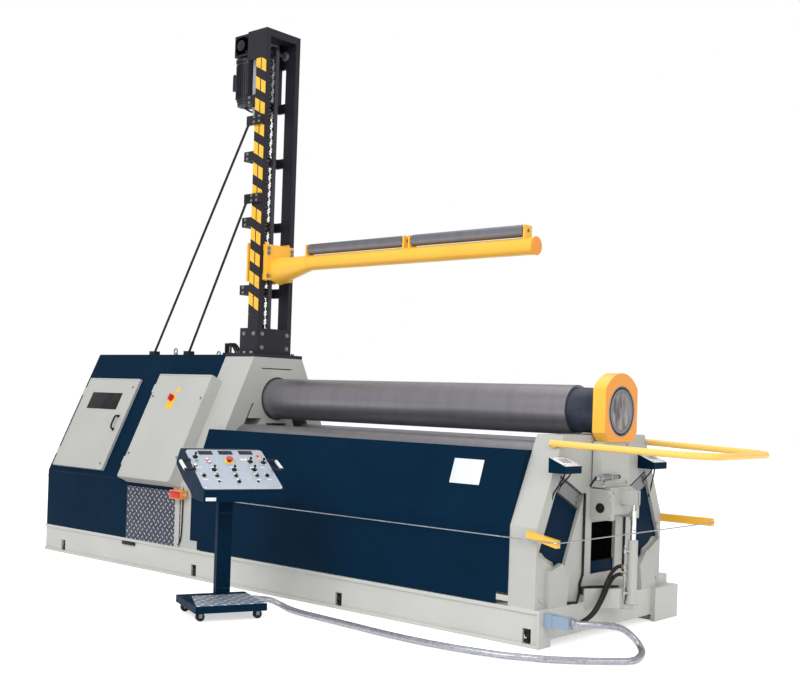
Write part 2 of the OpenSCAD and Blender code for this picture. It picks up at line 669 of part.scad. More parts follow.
module lift_chain() color("#3c3c42") {
    for (x = [chain_x - chain_r, chain_x + chain_r]) box([x - 8, -20, mast_z0], [x + 8, 20, sprocket_z]);
    translate([chain_x, 20, sprocket_z]) rotate([90, 0, 0]) cylinder(h = 40, r = chain_r + 8, $fn = 40);
    translate([chain_x, mast_half_w - post_t, sprocket_z]) rotate([90, 0, 0])
        cylinder(h = 2 * (mast_half_w - post_t), r = 16, $fn = 24);
}

module mast_gearbox() color("#3c3c46") {
    x1 = tie_x0 + 2 - seat_gap;
    box([x1 - 190, -190, mast_top_z - 180], [x1, 30, mast_top_z + 10]);
    translate([x1 - 115, -90, mast_top_z - 200]) cylinder(h = 21, r = 80, $fn = 40);
}

module mast_motor() color("#34343c") translate([tie_x0 - 114, -90, mast_top_z - 200]) {
    translate([0, 0, -24]) cylinder(h = 24, r = 110, $fn = 48);
    translate([0, 0, 40 - motor_l]) cylinder(h = motor_l - 63, r = 96, $fn = 48);
    translate([0, 0, -motor_l]) cylinder(h = 41, r = 88, $fn = 48);
    box([-140, -55, -260], [-80, 55, -120]);
}

// Two stay rods from the cabinet's top to clamps on the front post
module stay_rods() color("#151518") {
    foot_z = drive_top_z + 18;
    for (e = [[drive_x0 - 1097, 0.698], [drive_x0 - 587, 0.434]]) {
        z = mast_z(e[1]);
        bar([e[0], -drive_top_half_w + 60, foot_z + 20], [mast_x0 - 40, -mast_half_w - 15, z], 11);
        box([e[0] - 40, -drive_top_half_w + 28, foot_z], [e[0] + 40, -drive_top_half_w + 92, foot_z + 34]);
        box([mast_x0 - 70, -mast_half_w - 30, z - 40], [mast_x1 + 4, -mast_half_w, z + 40]);
    }
}

// ---- support arm ----

// Carriage that runs on the mast: front plate, side plates between the posts and a back plate
module carriage() color("#f0a03c") {
    z0 = arm_z - 145;
    z1 = arm_z + 195;
    pad = 0.4;
    w = mast_half_w - post_t - 10;
    box([mast_x1 + 5, -165, z0 + 5], [arm_root_x, 165, z1 - 25]);
    both_sides() {
        box([mast_x0 - 66, -w, z0], [mast_x1 + 6, -w + 25, z1]);
        for (z = [z0 + 5, z1 - 75]) {
            box([mast_x1 + pad, -165, z], [mast_x1 + 6, -156, z + 50]);
            box([mast_x0 - 30, -165, z], [mast_x0 - pad, -w + 1, z + 50]);
        }
    }
    box([mast_x0 - 85, -165, z0], [mast_x0 - 65, 165, z1]);
}

module support_arm() color("#fabe46") {
    difference() {
        union() {
            translate([0, 0, arm_z]) xcyl(arm_tube_r, arm_root_x, arm_tip_x);
            // the flared root hangs a little lower than the tube
            translate([arm_cone_x + 40, 0, arm_z]) rotate([0, -97, 0])
                cylinder(h = 460, r1 = arm_tube_r - 6, r2 = arm_tube_r + 62, $fn = 64);
        }
        box([arm_root_x - 120, -250, arm_z - 350], [arm_root_x, 250, arm_z + 250]);
    }
    for (x = [for (a = [0, roller_l + roller_gap]) each [roller_x0 + a - 24, roller_x0 + a + roller_l + 8]])
        difference() {
            box([x, -46, arm_z + arm_tube_r - 24], [x + 16, 46, roller_z + roller_r - 8]);
            translate([0, 0, roller_z]) xcyl(15, x - 1, x + 17);
        }
}

module support_roller(x0) translate([0, 0, roller_z]) {
    xcyl(roller_r, x0, x0 + roller_l);
    xcyl(14.5, x0 - 24, x0 + roller_l + 24);
}
module support_roller_inner() color("#8c8c92") support_roller(roller_x0);
module support_roller_outer() color("#8c8c92") support_roller(roller_x0 + roller_l + roller_gap);

// ---- console ----

// Console frame: x across it to its right, y from the front edge backwards
module at_console() translate([console_p[0], console_p[1], 0]) rotate([0, 0, console_turn]) children();
foot_z0 = 60;
foot_z1 = 110;
head_z = 730;
// height of the head's sloping underside, where the column meets it
function under_z(y) = head_z + 208 + (y - foot_d + 108) * 94 / 181 - seat_gap;

module console_foot() color("#06253f") at_console() box([-foot_w / 2, 0, foot_z0], [foot_w / 2, foot_d, foot_z1]);

module console_column() color("#0a2d4b") at_console()
    translate([15, 0, 0]) rotate([90, 0, 90]) linear_extrude(107) polygon([[foot_d - 70, foot_z1],
        [foot_d - 10, foot_z1], [foot_d - 10, under_z(foot_d - 10)], [foot_d - 70, under_z(foot_d - 70)]]);

module console_head() color("#06253f") at_console() translate([-head_w / 2 + 20, 0, head_z]) rotate([90, 0, 90])
    linear_extrude(head_w) polygon([[-120, 93], [-120, 175], [foot_d - 120, 415], [foot_d - 17, 421],
        [foot_d + 77, 330], [foot_d + 73, 302], [foot_d - 108, 208], [199, 140], [146, 97]]);

module console_casters() color("#101012") at_console()
    for (x = [-foot_w / 2 + 50, foot_w / 2 - 50], y = [60, foot_d - 60]) translate([x, y, foot_z0 - 30]) {
        rotate([90, 0, 0]) translate([0, 0, -13]) cylinder(h = 26, r = 30, $fn = 32);
        box([-14, -20, 20], [14, 20, 30]);
    }

// ---- junction box and conduit ----

module junction_box() color("#aabed7") {
    y = -base_half_w + 51;
    box([base_x1, y, base_h - 104], [base_x1 + 60, y + 70, base_h - 21]);
    box([base_x1 + 59, y + 4, base_h - 99], [base_x1 + 178, y + 66, base_h - 25]);
}

module flexible_conduit() color("#a0a0aa") sweep(conduit_pts, conduit_d / 2);

base_beam_front();
base_beam_rear();
base_crossmembers();
levelling_bolts();
rear_foot_block();
drive_housing();
end_housing();
end_brackets();
hinge_pin();
guide_covers();
guide_straps();
guide_shields();
power_cabinet();
cabinet_door();
electrical_box();
electrical_door();
main_switch();
tread_panel();
front_cover();
rear_cover();
top_roll();
roll_sleeve();
bottom_roll();
bottom_roll_bearings();
side_roll_front();
side_bearings_front();
side_roll_rear();
side_bearings_rear();
drop_ring();
drop_arm();
arm_valve();
tilt_barrel();
tilt_rod();
side_pipes();
guard_rail();
rope_brackets();
pull_rope();
pull_switch();
terminal_boxes();
lifting_eyes();
mast_foot();
mast_post_front();
mast_post_rear();
mast_head();
mast_ties();
lift_chain();
mast_gearbox();
mast_motor();
stay_rods();
carriage();
support_arm();
support_roller_inner();
support_roller_outer();
console_foot();
console_column();
console_head();
console_casters();
junction_box();
flexible_conduit();
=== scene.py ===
"""Finishes and small parts of a four-roll plate bending machine, laid out as an add-on."""

import math

import bpy
from mathutils import Matrix, Vector


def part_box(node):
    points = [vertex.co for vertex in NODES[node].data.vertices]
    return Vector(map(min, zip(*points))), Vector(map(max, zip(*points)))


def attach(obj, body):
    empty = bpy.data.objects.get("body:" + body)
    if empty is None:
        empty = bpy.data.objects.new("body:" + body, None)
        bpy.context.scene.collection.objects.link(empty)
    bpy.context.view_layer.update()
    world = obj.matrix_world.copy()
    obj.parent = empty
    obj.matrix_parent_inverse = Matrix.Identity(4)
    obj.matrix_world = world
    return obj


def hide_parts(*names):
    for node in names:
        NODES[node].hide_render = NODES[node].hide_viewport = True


bl_info = {
    "name": "Plate bending machine",
    "version": (1, 0, 0),
    "blender": (4, 5, 0),
    "location": "View3D > Sidebar > Bending Machine",
    "description": "Dresses the plate bending machine with paint, steel, controls and fittings",
    "category": "Object",
}

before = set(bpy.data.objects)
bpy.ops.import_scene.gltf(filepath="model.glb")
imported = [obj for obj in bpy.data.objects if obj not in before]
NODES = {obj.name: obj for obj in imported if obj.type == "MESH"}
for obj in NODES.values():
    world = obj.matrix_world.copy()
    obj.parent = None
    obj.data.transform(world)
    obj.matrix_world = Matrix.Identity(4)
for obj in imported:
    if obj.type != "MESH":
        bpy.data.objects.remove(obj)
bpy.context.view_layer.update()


def low(node):
    """Lowest corner of a node."""
    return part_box(node)[0]


def high(node):
    """Highest corner of a node."""
    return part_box(node)[1]


# Faces that the small parts are set out from, in metres
DRIVE_X0, DRIVE_X1 = low("mast_foot").x, high("mast_foot").x
END_X0, END_X1 = low("end_housing").x, high("end_housing").x
SIDE_Y = high("end_housing").y
TOP_HALF = high("mast_foot").y
DRIVE_TOP = high("drive_housing").z
KINK_Z = 0.762
BASE_H = high("base_beam_front").z
BASE_X0, BASE_X1 = low("base_beam_front").x, high("base_crossmembers").x
TOP_ROLL_Z = (low("top_roll").z + high("top_roll").z) / 2
ARM_X1 = high("drop_ring").x
MAST_X0, MAST_X1 = low("mast_post_front").x, high("mast_post_front").x
MAST_HALF = high("mast_post_rear").y
MAST_Z0, MAST_TOP = low("mast_post_front").z, high("mast_post_front").z
SPROCKET_Z = MAST_TOP - 0.140
SLOPE = math.atan2(SIDE_Y - TOP_HALF, DRIVE_TOP - KINK_Z)
GUIDE_Y, GUIDE_Z = 0.355, 1.160
ROLL_END_X = 1.525
BOTTOM_ROLL_R, BOTTOM_ROLL_Z = 0.165, 1.114
SIDE_ROLL_R = 0.135
COVER_TOP_Y = 0.658
WINDOW_Z0, WINDOW_Z1 = 0.410, 0.760
ARM_FACE_X = 1.835
HINGE = Vector((1.831, 0, 0.864))
ROPE_Z = 0.690
ARM_TUBE_R = 0.064

X_AXIS, Y_AXIS, Z_AXIS = (1, 0, 0), (0, 1, 0), (0, 0, 1)
BEVEL_ANGLE, SMOOTH_ANGLE = math.radians(40), math.radians(32)
HEX_CORNER = 0.577  # from a hexagon's width across its flats to its corner's radius


# ---------------------------------------------------------------- making pieces


def deselect():
    """Starts each piece with nothing selected."""
    if bpy.context.object and bpy.context.object.mode != "OBJECT":
        bpy.ops.object.mode_set(mode="OBJECT")
    bpy.ops.object.select_all(action="DESELECT")


def pick(obj):
    """Selects one object alone and makes it active."""
    deselect()
    obj.select_set(True)
    bpy.context.view_layer.objects.active = obj
    return obj


def settle(obj, matrix=None):
    """Moves an object by a matrix and puts its place into its mesh."""
    pick(obj)
    if matrix is not None:
        obj.matrix_world = matrix @ obj.matrix_world
    bpy.ops.object.transform_apply(location=True, rotation=True, scale=True)
    return obj


def rounded(obj, width):
    """Rounds an object's edges with a bevel."""
    pick(obj)
    modifier = obj.modifiers.new("edge", "BEVEL")
    modifier.width = width
    modifier.segments = 2
    modifier.limit_method = "ANGLE"
    modifier.angle_limit = BEVEL_ANGLE
    bpy.ops.object.modifier_apply(modifier="edge")
    bpy.ops.object.shade_smooth_by_angle(angle=SMOOTH_ANGLE)
    return obj


def block(lower, upper, edge=0.002, matrix=None):
    """A block between two corners with rounded edges."""
    deselect()
    lower, upper = Vector(lower), Vector(upper)
    bpy.ops.mesh.primitive_cube_add(size=1, location=(lower + upper) / 2)
    obj = bpy.context.object
    obj.scale = upper - lower
    settle(obj)
    if edge:
        rounded(obj, min(edge, min(upper - lower) * 0.45))
    return settle(obj, matrix) if matrix is not None else obj


def rod(start, end, radius, sides=32, edge=0.0, matrix=None, end_radius=None):
    """A round or many-sided rod between two points, with chamfered ends."""
    deselect()
    start, end = Vector(start), Vector(end)
    turn = (end - start).to_track_quat("Z", "Y").to_euler()
    args = {"vertices": sides, "depth": (end - start).length, "location": (start + end) / 2, "rotation": turn}
    if end_radius is None:
        bpy.ops.mesh.primitive_cylinder_add(radius=radius, **args)
    else:
        bpy.ops.mesh.primitive_cone_add(radius1=radius, radius2=end_radius, **args)
    obj = settle(bpy.context.object)
    if edge:
        rounded(obj, edge)
    else:
        bpy.ops.object.shade_smooth_by_angle(angle=SMOOTH_ANGLE)
    return settle(obj, matrix) if matrix is not None else obj


def ring(centre, axis, radius, thickness, sides=36, rings=8):
    """A round ring about an axis."""
    deselect()
    turn = Vector(axis).to_track_quat("Z", "Y").to_euler()
    bpy.ops.mesh.primitive_torus_add(location=centre, rotation=turn, major_radius=radius,
                                     minor_radius=thickness, major_segments=sides, minor_segments=rings)
    bpy.ops.object.shade_smooth()
    return settle(bpy.context.object)


def ball(centre, radius, stretch, matrix):
    """A ball, stretched upwards."""
    deselect()
    bpy.ops.mesh.primitive_uv_sphere_add(segments=24, ring_count=12, radius=radius, location=centre)
    obj = bpy.context.object
    obj.scale.z = stretch
    bpy.ops.object.shade_smooth()
    settle(obj)
    return settle(obj, matrix)


def curve_mesh(curve):
    """Turns a curve into a mesh object."""
    obj = bpy.data.objects.new(curve.name, curve)
    bpy.context.scene.collection.objects.link(obj)
    pick(obj)
    bpy.ops.object.convert(target="MESH")
    return bpy.context.object


def tube(points, radius, sides=6, matrix=None):
    """A bent tube through points, made as a curve and turned into a mesh."""
    deselect()
    curve = bpy.data.curves.new("tube", "CURVE")
    curve.dimensions = "3D"
    curve.bevel_depth = radius
    curve.bevel_resolution = sides
    curve.use_fill_caps = True
    spline = curve.splines.new("NURBS")
    spline.points.add(len(points) - 1)
    spline.use_endpoint_u = True
    spline.order_u = 4 if len(points) > 3 else 3
    spline.resolution_u = 8
    for point, place in zip(spline.points, points):
        point.co = (*place, 1)
    obj = curve_mesh(curve)
    bpy.ops.object.shade_smooth_by_angle(angle=math.radians(50))
    return settle(obj, matrix)


def outline_plate(points, thickness, edge=0.001, matrix=None):
    """A flat plate in XY with the given outline, drawn as a curve and given its thickness along Z."""
    deselect()
    curve = bpy.data.curves.new("plate", "CURVE")
    curve.dimensions = "2D"
    curve.fill_mode = "BOTH"
    curve.extrude = thickness / 2
    spline = curve.splines.new("POLY")
    spline.points.add(len(points) - 1)
    spline.use_cyclic_u = True
    for point, place in zip(spline.points, points):
        point.co = (*place, 0, 1)
    obj = curve_mesh(curve)
    obj.location.z = thickness / 2
    settle(obj)
    bpy.ops.object.mode_set(mode="EDIT")
    bpy.ops.mesh.select_all(action="SELECT")
    bpy.ops.mesh.remove_doubles(threshold=0.00001)
    bpy.ops.mesh.normals_make_consistent(inside=False)
    bpy.ops.object.mode_set(mode="OBJECT")
    rounded(obj, edge)
    return settle(obj, matrix)


def copies(obj, places):
    """The object at each place, every copy with its own mesh; the first is not kept."""
    made = []
    for place in places:
        twin = obj.copy()
        twin.data = obj.data.copy()
        bpy.context.scene.collection.objects.link(twin)
        made.append(settle(twin, place if isinstance(place, Matrix) else Matrix.Translation(place)))
    bpy.data.objects.remove(obj)
    return made


def joined(parts):
    """Joins parts into one object."""
    deselect()
    for part in parts:
        part.select_set(True)
    bpy.context.view_layer.objects.active = parts[0]
    if len(parts) > 1:
        bpy.ops.object.join()
    return bpy.context.object


def piece(name, parts, body, finish):
    """Joins parts into one named piece that rides on a body."""
    obj = joined(parts)
    obj.name = name
    obj.data.name = name
    bpy.ops.object.transform_apply(location=True, rotation=True, scale=True)
    obj.data.materials.clear()
    obj.data.materials.append(FINISHES[finish])
    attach(obj, body)
    return obj


def bolts(places, axis, across=0.024, height=0.014):
    """A hexagon head on its washer, modelled once along the axis and copied to each place."""
    axis = Vector(axis).normalized()
    first = joined([rod(axis * 0.002, axis * height, across * HEX_CORNER, 6, 0.0012),
                    rod((0, 0, 0), axis * 0.003, across * 0.72, 20)])
    return copies(first, places)


# ---------------------------------------------------------------- places


def slope_frame():
    """Matrix from the front slope's own frame (along X, up the slope, outwards) to the machine's."""
    up = Vector((0, math.sin(SLOPE), math.cos(SLOPE)))
    out = Vector((0, -math.cos(SLOPE), math.sin(SLOPE)))
    across = Vector((1, 0, 0))
    return Matrix.Translation((0, -SIDE_Y, KINK_Z)) @ Matrix((across, up, out)).transposed().to_4x4()


CONSOLE_PLACE = Vector((-0.097, -1.714, 0))
CONSOLE_TURN = math.radians(67)
PANEL_PITCH = math.atan2(0.240, 0.490)
FOOT_W, FOOT_D, FOOT_H = 0.510, 0.490, 0.110


def console_frame():
    """Matrix from the console's own frame (across, backwards, up) to the machine's."""
    return Matrix.Translation(CONSOLE_PLACE) @ Matrix.Rotation(CONSOLE_TURN, 4, "Z")


def panel_frame():
    """Matrix from the control panel's own frame (across, up the panel, outwards) to the machine's."""
    return console_frame() @ Matrix.Translation((0, -0.120, 0.905)) @ Matrix.Rotation(PANEL_PITCH, 4, "X")


# ---------------------------------------------------------------- finishes

FINISHES = {}

# The mast's slanted stripes: rise per metre across, pitch, dark share and the height where they end
STRIPE_SLANT, STRIPE_PITCH, STRIPE_GAP, STRIPE_TOP = 0.54, 0.19, 0.45, 4.50


class Finish:
    """A procedural material, built one node at a time around a Principled shader."""

    def __init__(self, name, roughness=0.4, metallic=0.0, **sockets):
        self.material = bpy.data.materials.new(name)
        self.material.use_nodes = True
        self.tree = self.material.node_tree
        self.shader = self.tree.nodes["Principled BSDF"]
        self.shader.inputs["Roughness"].default_value = roughness
        self.shader.inputs["Metallic"].default_value = metallic
        for socket, value in sockets.items():
            self.shader.inputs[socket.replace("_", " ")].default_value = value
        self.place = self.add("ShaderNodeTexCoord").outputs["Object"]
        FINISHES[name] = self.material

    def add(self, kind, inputs=None, **settings):
        """Adds a node, sets it up, and links or fills its inputs."""
        node = self.tree.nodes.new(kind)
        for key, value in settings.items():
            setattr(node, key, value)
        for key, value in (inputs or {}).items():
            if isinstance(value, bpy.types.NodeSocket):
                self.tree.links.new(value, node.inputs[key])
            else:
                node.inputs[key].default_value = value
        return node

    def math(self, operation, a, b=0.0, clamp=False):
        """One sum on two values."""
        return self.add("ShaderNodeMath", {0: a, 1: b}, operation=operation, use_clamp=clamp).outputs[0]

    def noise(self, scale, detail=3.0, stretch=(1, 1, 1), roughness=0.5):
        """Soft noise in the object's own coordinates."""
        place = self.add("ShaderNodeMapping", {"Vector": self.place, "Scale": stretch}).outputs[0]
        return self.add("ShaderNodeTexNoise", {"Vector": place, "Scale": scale, "Detail": detail,
                                               "Roughness": roughness}).outputs["Fac"]

    def spread(self, value, low_in, high_in, low_out=0.0, high_out=1.0):
        """Maps a value from one range to another."""
        return self.add("ShaderNodeMapRange", {"Value": value, "From Min": low_in, "From Max": high_in,
                                               "To Min": low_out, "To Max": high_out}).outputs[0]

    def mix(self, factor, a, b):
        """Mixes two colours."""
        node = self.add("ShaderNodeMix", {"Factor": factor}, data_type="RGBA")
        for socket, value in ((node.inputs[6], a), (node.inputs[7], b)):
            if isinstance(value, bpy.types.NodeSocket):
                self.tree.links.new(value, socket)
            else:
                socket.default_value = (*value[:3], 1)
        return node.outputs[2]

    def colour(self, value):
        """Sets or links the base colour."""
        if isinstance(value, bpy.types.NodeSocket):
            self.tree.links.new(value, self.shader.inputs["Base Color"])
        else:
            self.shader.inputs["Base Color"].default_value = (*value[:3], 1)
        return self

    def base(self):
        """What the base colour is linked to."""
        return self.shader.inputs["Base Color"].links[0].from_socket

    def mottled(self, scale, detail, dark, light):
        """Gives it soft patches of two shades."""
        return self.colour(self.mix(self.spread(self.noise(scale, detail), 0.3, 0.7), dark, light))

    def dull(self, value):
        """Links the roughness."""
        self.tree.links.new(value, self.shader.inputs["Roughness"])
        return self

    def bump(self, height, strength=0.2, distance=0.001):
        """Raises the surface by a height pattern."""
        node = self.add("ShaderNodeBump", {"Height": height, "Strength": strength, "Distance": distance})
        self.tree.links.new(node.outputs[0], self.shader.inputs["Normal"])
        return self

    def split(self):
        """The three coordinates on their own."""
        parts = self.add("ShaderNodeSeparateXYZ", {0: self.place}).outputs
        return parts[0], parts[1], parts[2]


def tone(colour, factor):
    """A colour made lighter or darker."""
    return tuple(min(1.0, c * factor) for c in colour[:3])


def painted(name, colour, roughness, grime=0.06, peel=0.05, low_dust=True, specular=0.5):
    """Sprayed enamel: slow shade drift, fine orange peel, a little dust towards the floor."""
    f = Finish(name, roughness, Specular_IOR_Level=specular)
    drift = f.spread(f.noise(1.7, 4), 0.3, 0.7)
    base = f.mix(drift, tone(colour, 1 - grime), tone(colour, 1 + grime * 0.6))
    fine = f.spread(f.noise(28, 5), 0.35, 0.75)
    base = f.mix(f.math("MULTIPLY", fine, 0.10), base, tone(colour, 0.82))
    if low_dust:
        dust = f.spread(f.split()[2], 0.45, 0.0, 0.0, 0.16)
        dust = f.math("MULTIPLY", dust, f.spread(f.noise(9, 5), 0.35, 0.7), clamp=True)
        base = f.mix(dust, base, (0.30, 0.28, 0.25))
    f.colour(base)
    f.dull(f.spread(f.noise(6, 4), 0.3, 0.7, roughness - 0.05, roughness + 0.08))
    f.bump(f.noise(160, 2), peel, 0.0006)
    return f


def ground_steel(name, colour, roughness, rings=900):
    """Turned and ground steel: fine rings about X with long soft streaks."""
    f = Finish(name, roughness, 0.75)
    fine = f.noise(1.0, 3, (rings, 3, 3))
    broad = f.noise(1.0, 3, (14, 2, 2))
    shade = f.math("ADD", f.math("MULTIPLY", fine, 0.5), f.math("MULTIPLY", broad, 0.5))
    f.colour(f.mix(f.spread(shade, 0.3, 0.7), tone(colour, 0.86), tone(colour, 1.12)))
    f.dull(f.spread(fine, 0.3, 0.7, roughness - 0.06, roughness + 0.08))
    f.bump(fine, 0.12, 0.0003)
    return f


def tread_pattern(f, across, along, pitch):
    """Raised lozenges that lie crosswise in neighbouring cells."""
    u, v = f.math("DIVIDE", across, pitch), f.math("DIVIDE", along, pitch)
    a, b = f.math("ADD", u, v), f.math("SUBTRACT", u, v)
    fa = f.math("SUBTRACT", f.math("FRACT", a), 0.5)
    fb = f.math("SUBTRACT", f.math("FRACT", b), 0.5)
    parity = f.math("MODULO", f.math("ADD", f.math("FLOOR", a), f.math("FLOOR", b)), 2.0)
    parity = f.math("ABSOLUTE", parity)
    along_a = f.math("ADD", f.math("MULTIPLY", fa, parity),
                     f.math("MULTIPLY", fb, f.math("SUBTRACT", 1.0, parity)))
    along_b = f.math("ADD", f.math("MULTIPLY", fb, parity),
                     f.math("MULTIPLY", fa, f.math("SUBTRACT", 1.0, parity)))
    long_part = f.math("POWER", f.math("DIVIDE", along_a, 0.46), 2.0)
    short_part = f.math("ABSOLUTE", f.math("DIVIDE", along_b, 0.15))
    inside = f.math("SUBTRACT", 1.0, f.math("ADD", long_part, short_part), clamp=True)
    return f.spread(inside, 0.0, 0.35)


def enamel_finishes(paints):
    """Sprayed paints of the machine's panels, castings and mast."""
    # the base frame's cream is the housings' cream made 1.2 times lighter: painted light on the same paint,
    # where the base gets less lamp light
    for name, colour, roughness in (
            ("cream", paints.cream, 0.42), ("base_cream_painted_light", tone(paints.cream, 1.2), 0.42),
            ("rail", (0.90, 0.56, 0.12), 0.33), ("light_grey", (0.52, 0.56, 0.60), 0.4),
            ("white_lid", (0.72, 0.74, 0.76), 0.4)):
        painted(name, colour, roughness, low_dust=False)
    painted("navy", paints.navy, 0.5, grime=0.12, low_dust=False, specular=0.04)
    painted("orange", paints.orange, 0.33)
    painted("mast", paints.mast, 0.45, grime=0.15, specular=0.25)
    painted("pale_blue", paints.pale_blue, 0.35)
    painted("yellow", paints.yellow, 0.33)

    # the bearing ring: yellow all round, with a deeper orange end face
    f = painted("ring", paints.yellow, 0.32)
    face = f.math("GREATER_THAN", f.split()[0], ARM_X1 - 0.002)
    f.colour(f.mix(face, f.base(), paints.orange))

    # striped front post: slanted bars on its operator side only, parted by a seam
    f = painted("striped", paints.mast, 0.45, grime=0.15, specular=0.25)
    x, y, z = f.split()
    slant = f.math("ADD", z, f.math("MULTIPLY", x, STRIPE_SLANT))
    bar = f.math("GREATER_THAN", f.math("FRACT", f.math("DIVIDE", slant, STRIPE_PITCH)), STRIPE_GAP)
    seam = f.math("GREATER_THAN", f.math("ABSOLUTE", f.math("SUBTRACT", x, (MAST_X0 + MAST_X1) / 2)), 0.006)
    front = f.math("LESS_THAN", y, -MAST_HALF + 0.002)
    high_up = f.math("GREATER_THAN", z, MAST_Z0 + 0.12)
    high_up = f.math("MULTIPLY", high_up, f.math("LESS_THAN", z, STRIPE_TOP))
    mask = f.math("MULTIPLY", f.math("MULTIPLY", bar, seam), f.math("MULTIPLY", front, high_up))
    worn = f.spread(f.noise(40, 5), 0.28, 0.34)
    f.colour(f.mix(f.math("MULTIPLY", mask, worn), f.base(), paints.yellow))


def steel_finishes(paints):
    """Bare metals, from the ground rolls to the brass ports."""
    ground_steel("ground_steel", paints.steel, 0.38)
    ground_steel("polished_steel", (0.42, 0.42, 0.44), 0.25, 500)
    ground_steel("dull_steel", (0.26, 0.26, 0.27), 0.5, 300)
    ground_steel("roller_steel", (0.19, 0.185, 0.21), 0.42)
    ground_steel("chain_steel", (0.07, 0.07, 0.08), 0.5, 60)

    # bright end of the top roll's journal, with dull streaks
    f = Finish("journal", 0.35, 0.8)
    streak = f.spread(f.noise(1.0, 5, (2, 26, 7)), 0.42, 0.62)
    f.colour(f.mix(streak, (0.36, 0.33, 0.34), (0.14, 0.125, 0.13)))
    f.dull(f.spread(f.noise(30, 3), 0.3, 0.7, 0.25, 0.5))

    f = Finish("chrome", 0.12, 1.0).mottled(8, 3, (0.62, 0.62, 0.65), (0.78, 0.78, 0.8))
    f.dull(f.spread(f.noise(90, 3), 0.3, 0.7, 0.08, 0.2))
    Finish("brass", 0.3, 1.0).mottled(20, 3, (0.55, 0.42, 0.2), (0.75, 0.62, 0.34))
    f = Finish("conduit", 0.32, 0.85).mottled(60, 4, (0.27, 0.28, 0.31), (0.44, 0.45, 0.49))
    f.dull(f.spread(f.noise(30, 3), 0.3, 0.7, 0.26, 0.42))
    # light grey grips: painted highlight along the console's black handles
    Finish("grip", 0.35).mottled(16, 3, (0.62, 0.62, 0.64), (0.8, 0.8, 0.82))


def dark_finishes():
    """Blacks, from sheet metal to rubber, and the painted shade inside the window."""
    f = Finish("black", 0.5, Specular_IOR_Level=0.18)
    f.mottled(12, 4, (0.008, 0.008, 0.01), (0.022, 0.022, 0.025))
    f.bump(f.noise(220, 2), 0.06, 0.0005)
    f = Finish("rubber", 0.7, Specular_IOR_Level=0.2)
    f.mottled(30, 4, (0.009, 0.009, 0.009), (0.024, 0.023, 0.022))
    f.bump(f.noise(420, 3), 0.12, 0.0005)
    f = Finish("sleeve", 0.42, Specular_IOR_Level=0.25)
    f.mottled(9, 4, (0.016, 0.020, 0.034), (0.042, 0.050, 0.078))
    f.bump(f.noise(1.0, 3, (500, 3, 3)), 0.1, 0.0003)
    # pitch-black without sheen: painted shade for the inside of the end housing's window
    Finish("pitch", 0.9, Specular_IOR_Level=0.0).mottled(12, 4, (0.001, 0.001, 0.001), (0.003, 0.003, 0.004))


def panel_finishes():
    """Signal colours, the tread plates and the console's panel."""
    for name, colour in (("red", (0.55, 0.015, 0.012)), ("white", (0.75, 0.75, 0.73)),
                         ("signal_yellow", (0.87, 0.5, 0.02)), ("green", (0.02, 0.32, 0.06)),
                         ("rust", (0.16, 0.02, 0.01))):
        f = Finish(name, 0.3).mottled(25, 3, tone(colour, 0.9), tone(colour, 1.05))
        f.bump(f.noise(300, 2), 0.03, 0.0004)

    # tread plate on the panel beside the cabinet, and on the console's foot; the raised lozenges are painted
    # light as painted highlights
    f = Finish("tread", 0.4, 0.6)
    x, _, z = f.split()
    raised = tread_pattern(f, x, z, 0.062)
    scuff = f.spread(f.noise(14, 5), 0.3, 0.7)
    low_part = f.mix(scuff, (0.036, 0.038, 0.056), (0.060, 0.063, 0.090))
    f.colour(f.mix(raised, low_part, (0.44, 0.45, 0.50)))
    f.bump(raised, 0.9, 0.002)
    f = Finish("tread_foot", 0.4, 0.2)
    turned = f.add("ShaderNodeMapping", {"Vector": f.place, "Rotation": (0, 0, -CONSOLE_TURN)}).outputs[0]
    parts = f.add("ShaderNodeSeparateXYZ", {0: turned}).outputs
    raised = tread_pattern(f, parts[0], parts[1], 0.095)
    # near-white lozenges on a grey-blue plate: painted highlight on the raised pattern
    f.colour(f.mix(raised, (0.23, 0.275, 0.35), (0.86, 0.88, 0.93)))
    f.bump(raised, 0.9, 0.002)

    f = Finish("panel", 0.36).mottled(70, 5, (0.31, 0.355, 0.43), (0.38, 0.43, 0.50))
    f.bump(f.noise(500, 2), 0.05, 0.0003)
    f = Finish("display", 0.4, Specular_IOR_Level=0.15)
    rows = f.spread(f.noise(140, 2), 0.45, 0.6)
    f.colour(f.mix(rows, (0.008, 0.008, 0.012), (0.03, 0.03, 0.045)))


def make_finishes(paints):
    """Every finish on the machine."""
    enamel_finishes(paints)
    steel_finishes(paints)
    dark_finishes()
    panel_finishes()


NODE_FINISHES = {
    "base_cream_painted_light": ["base_beam_front", "base_beam_rear", "base_crossmembers", "rear_foot_block"],
    "cream": ["drive_housing", "end_housing", "end_brackets", "guide_covers", "cabinet_door", "electrical_box",
              "electrical_door", "drop_arm", "tilt_barrel"],
    "navy": ["guide_shields", "power_cabinet", "front_cover", "rear_cover", "terminal_boxes",
             "console_foot", "console_column", "console_head"],
    "orange": ["pull_switch"],
    "yellow": ["rope_brackets", "support_arm", "carriage"],
    "rail": ["guard_rail"],
    "ring": ["drop_ring"],
    "mast": ["mast_foot", "mast_post_rear", "mast_head", "mast_ties", "mast_gearbox", "mast_motor"],
    "striped": ["mast_post_front"],
    "ground_steel": ["top_roll", "bottom_roll", "side_roll_front", "side_roll_rear"],
    "roller_steel": ["support_roller_inner", "support_roller_outer"],
    "chain_steel": ["lift_chain"],
    "dull_steel": ["bottom_roll_bearings", "side_bearings_front", "side_bearings_rear",
                   "lifting_eyes", "guide_straps", "arm_valve"],
    "black": ["levelling_bolts", "hinge_pin", "stay_rods", "side_pipes"],
    "sleeve": ["roll_sleeve"],
    "chrome": ["tilt_rod"],
    "tread": ["tread_panel"],
    "red": ["main_switch"],
    "pale_blue": ["junction_box"],
    "rubber": ["console_casters"],
    "conduit": ["pull_rope", "flexible_conduit"],
}


# ---------------------------------------------------------------- settings


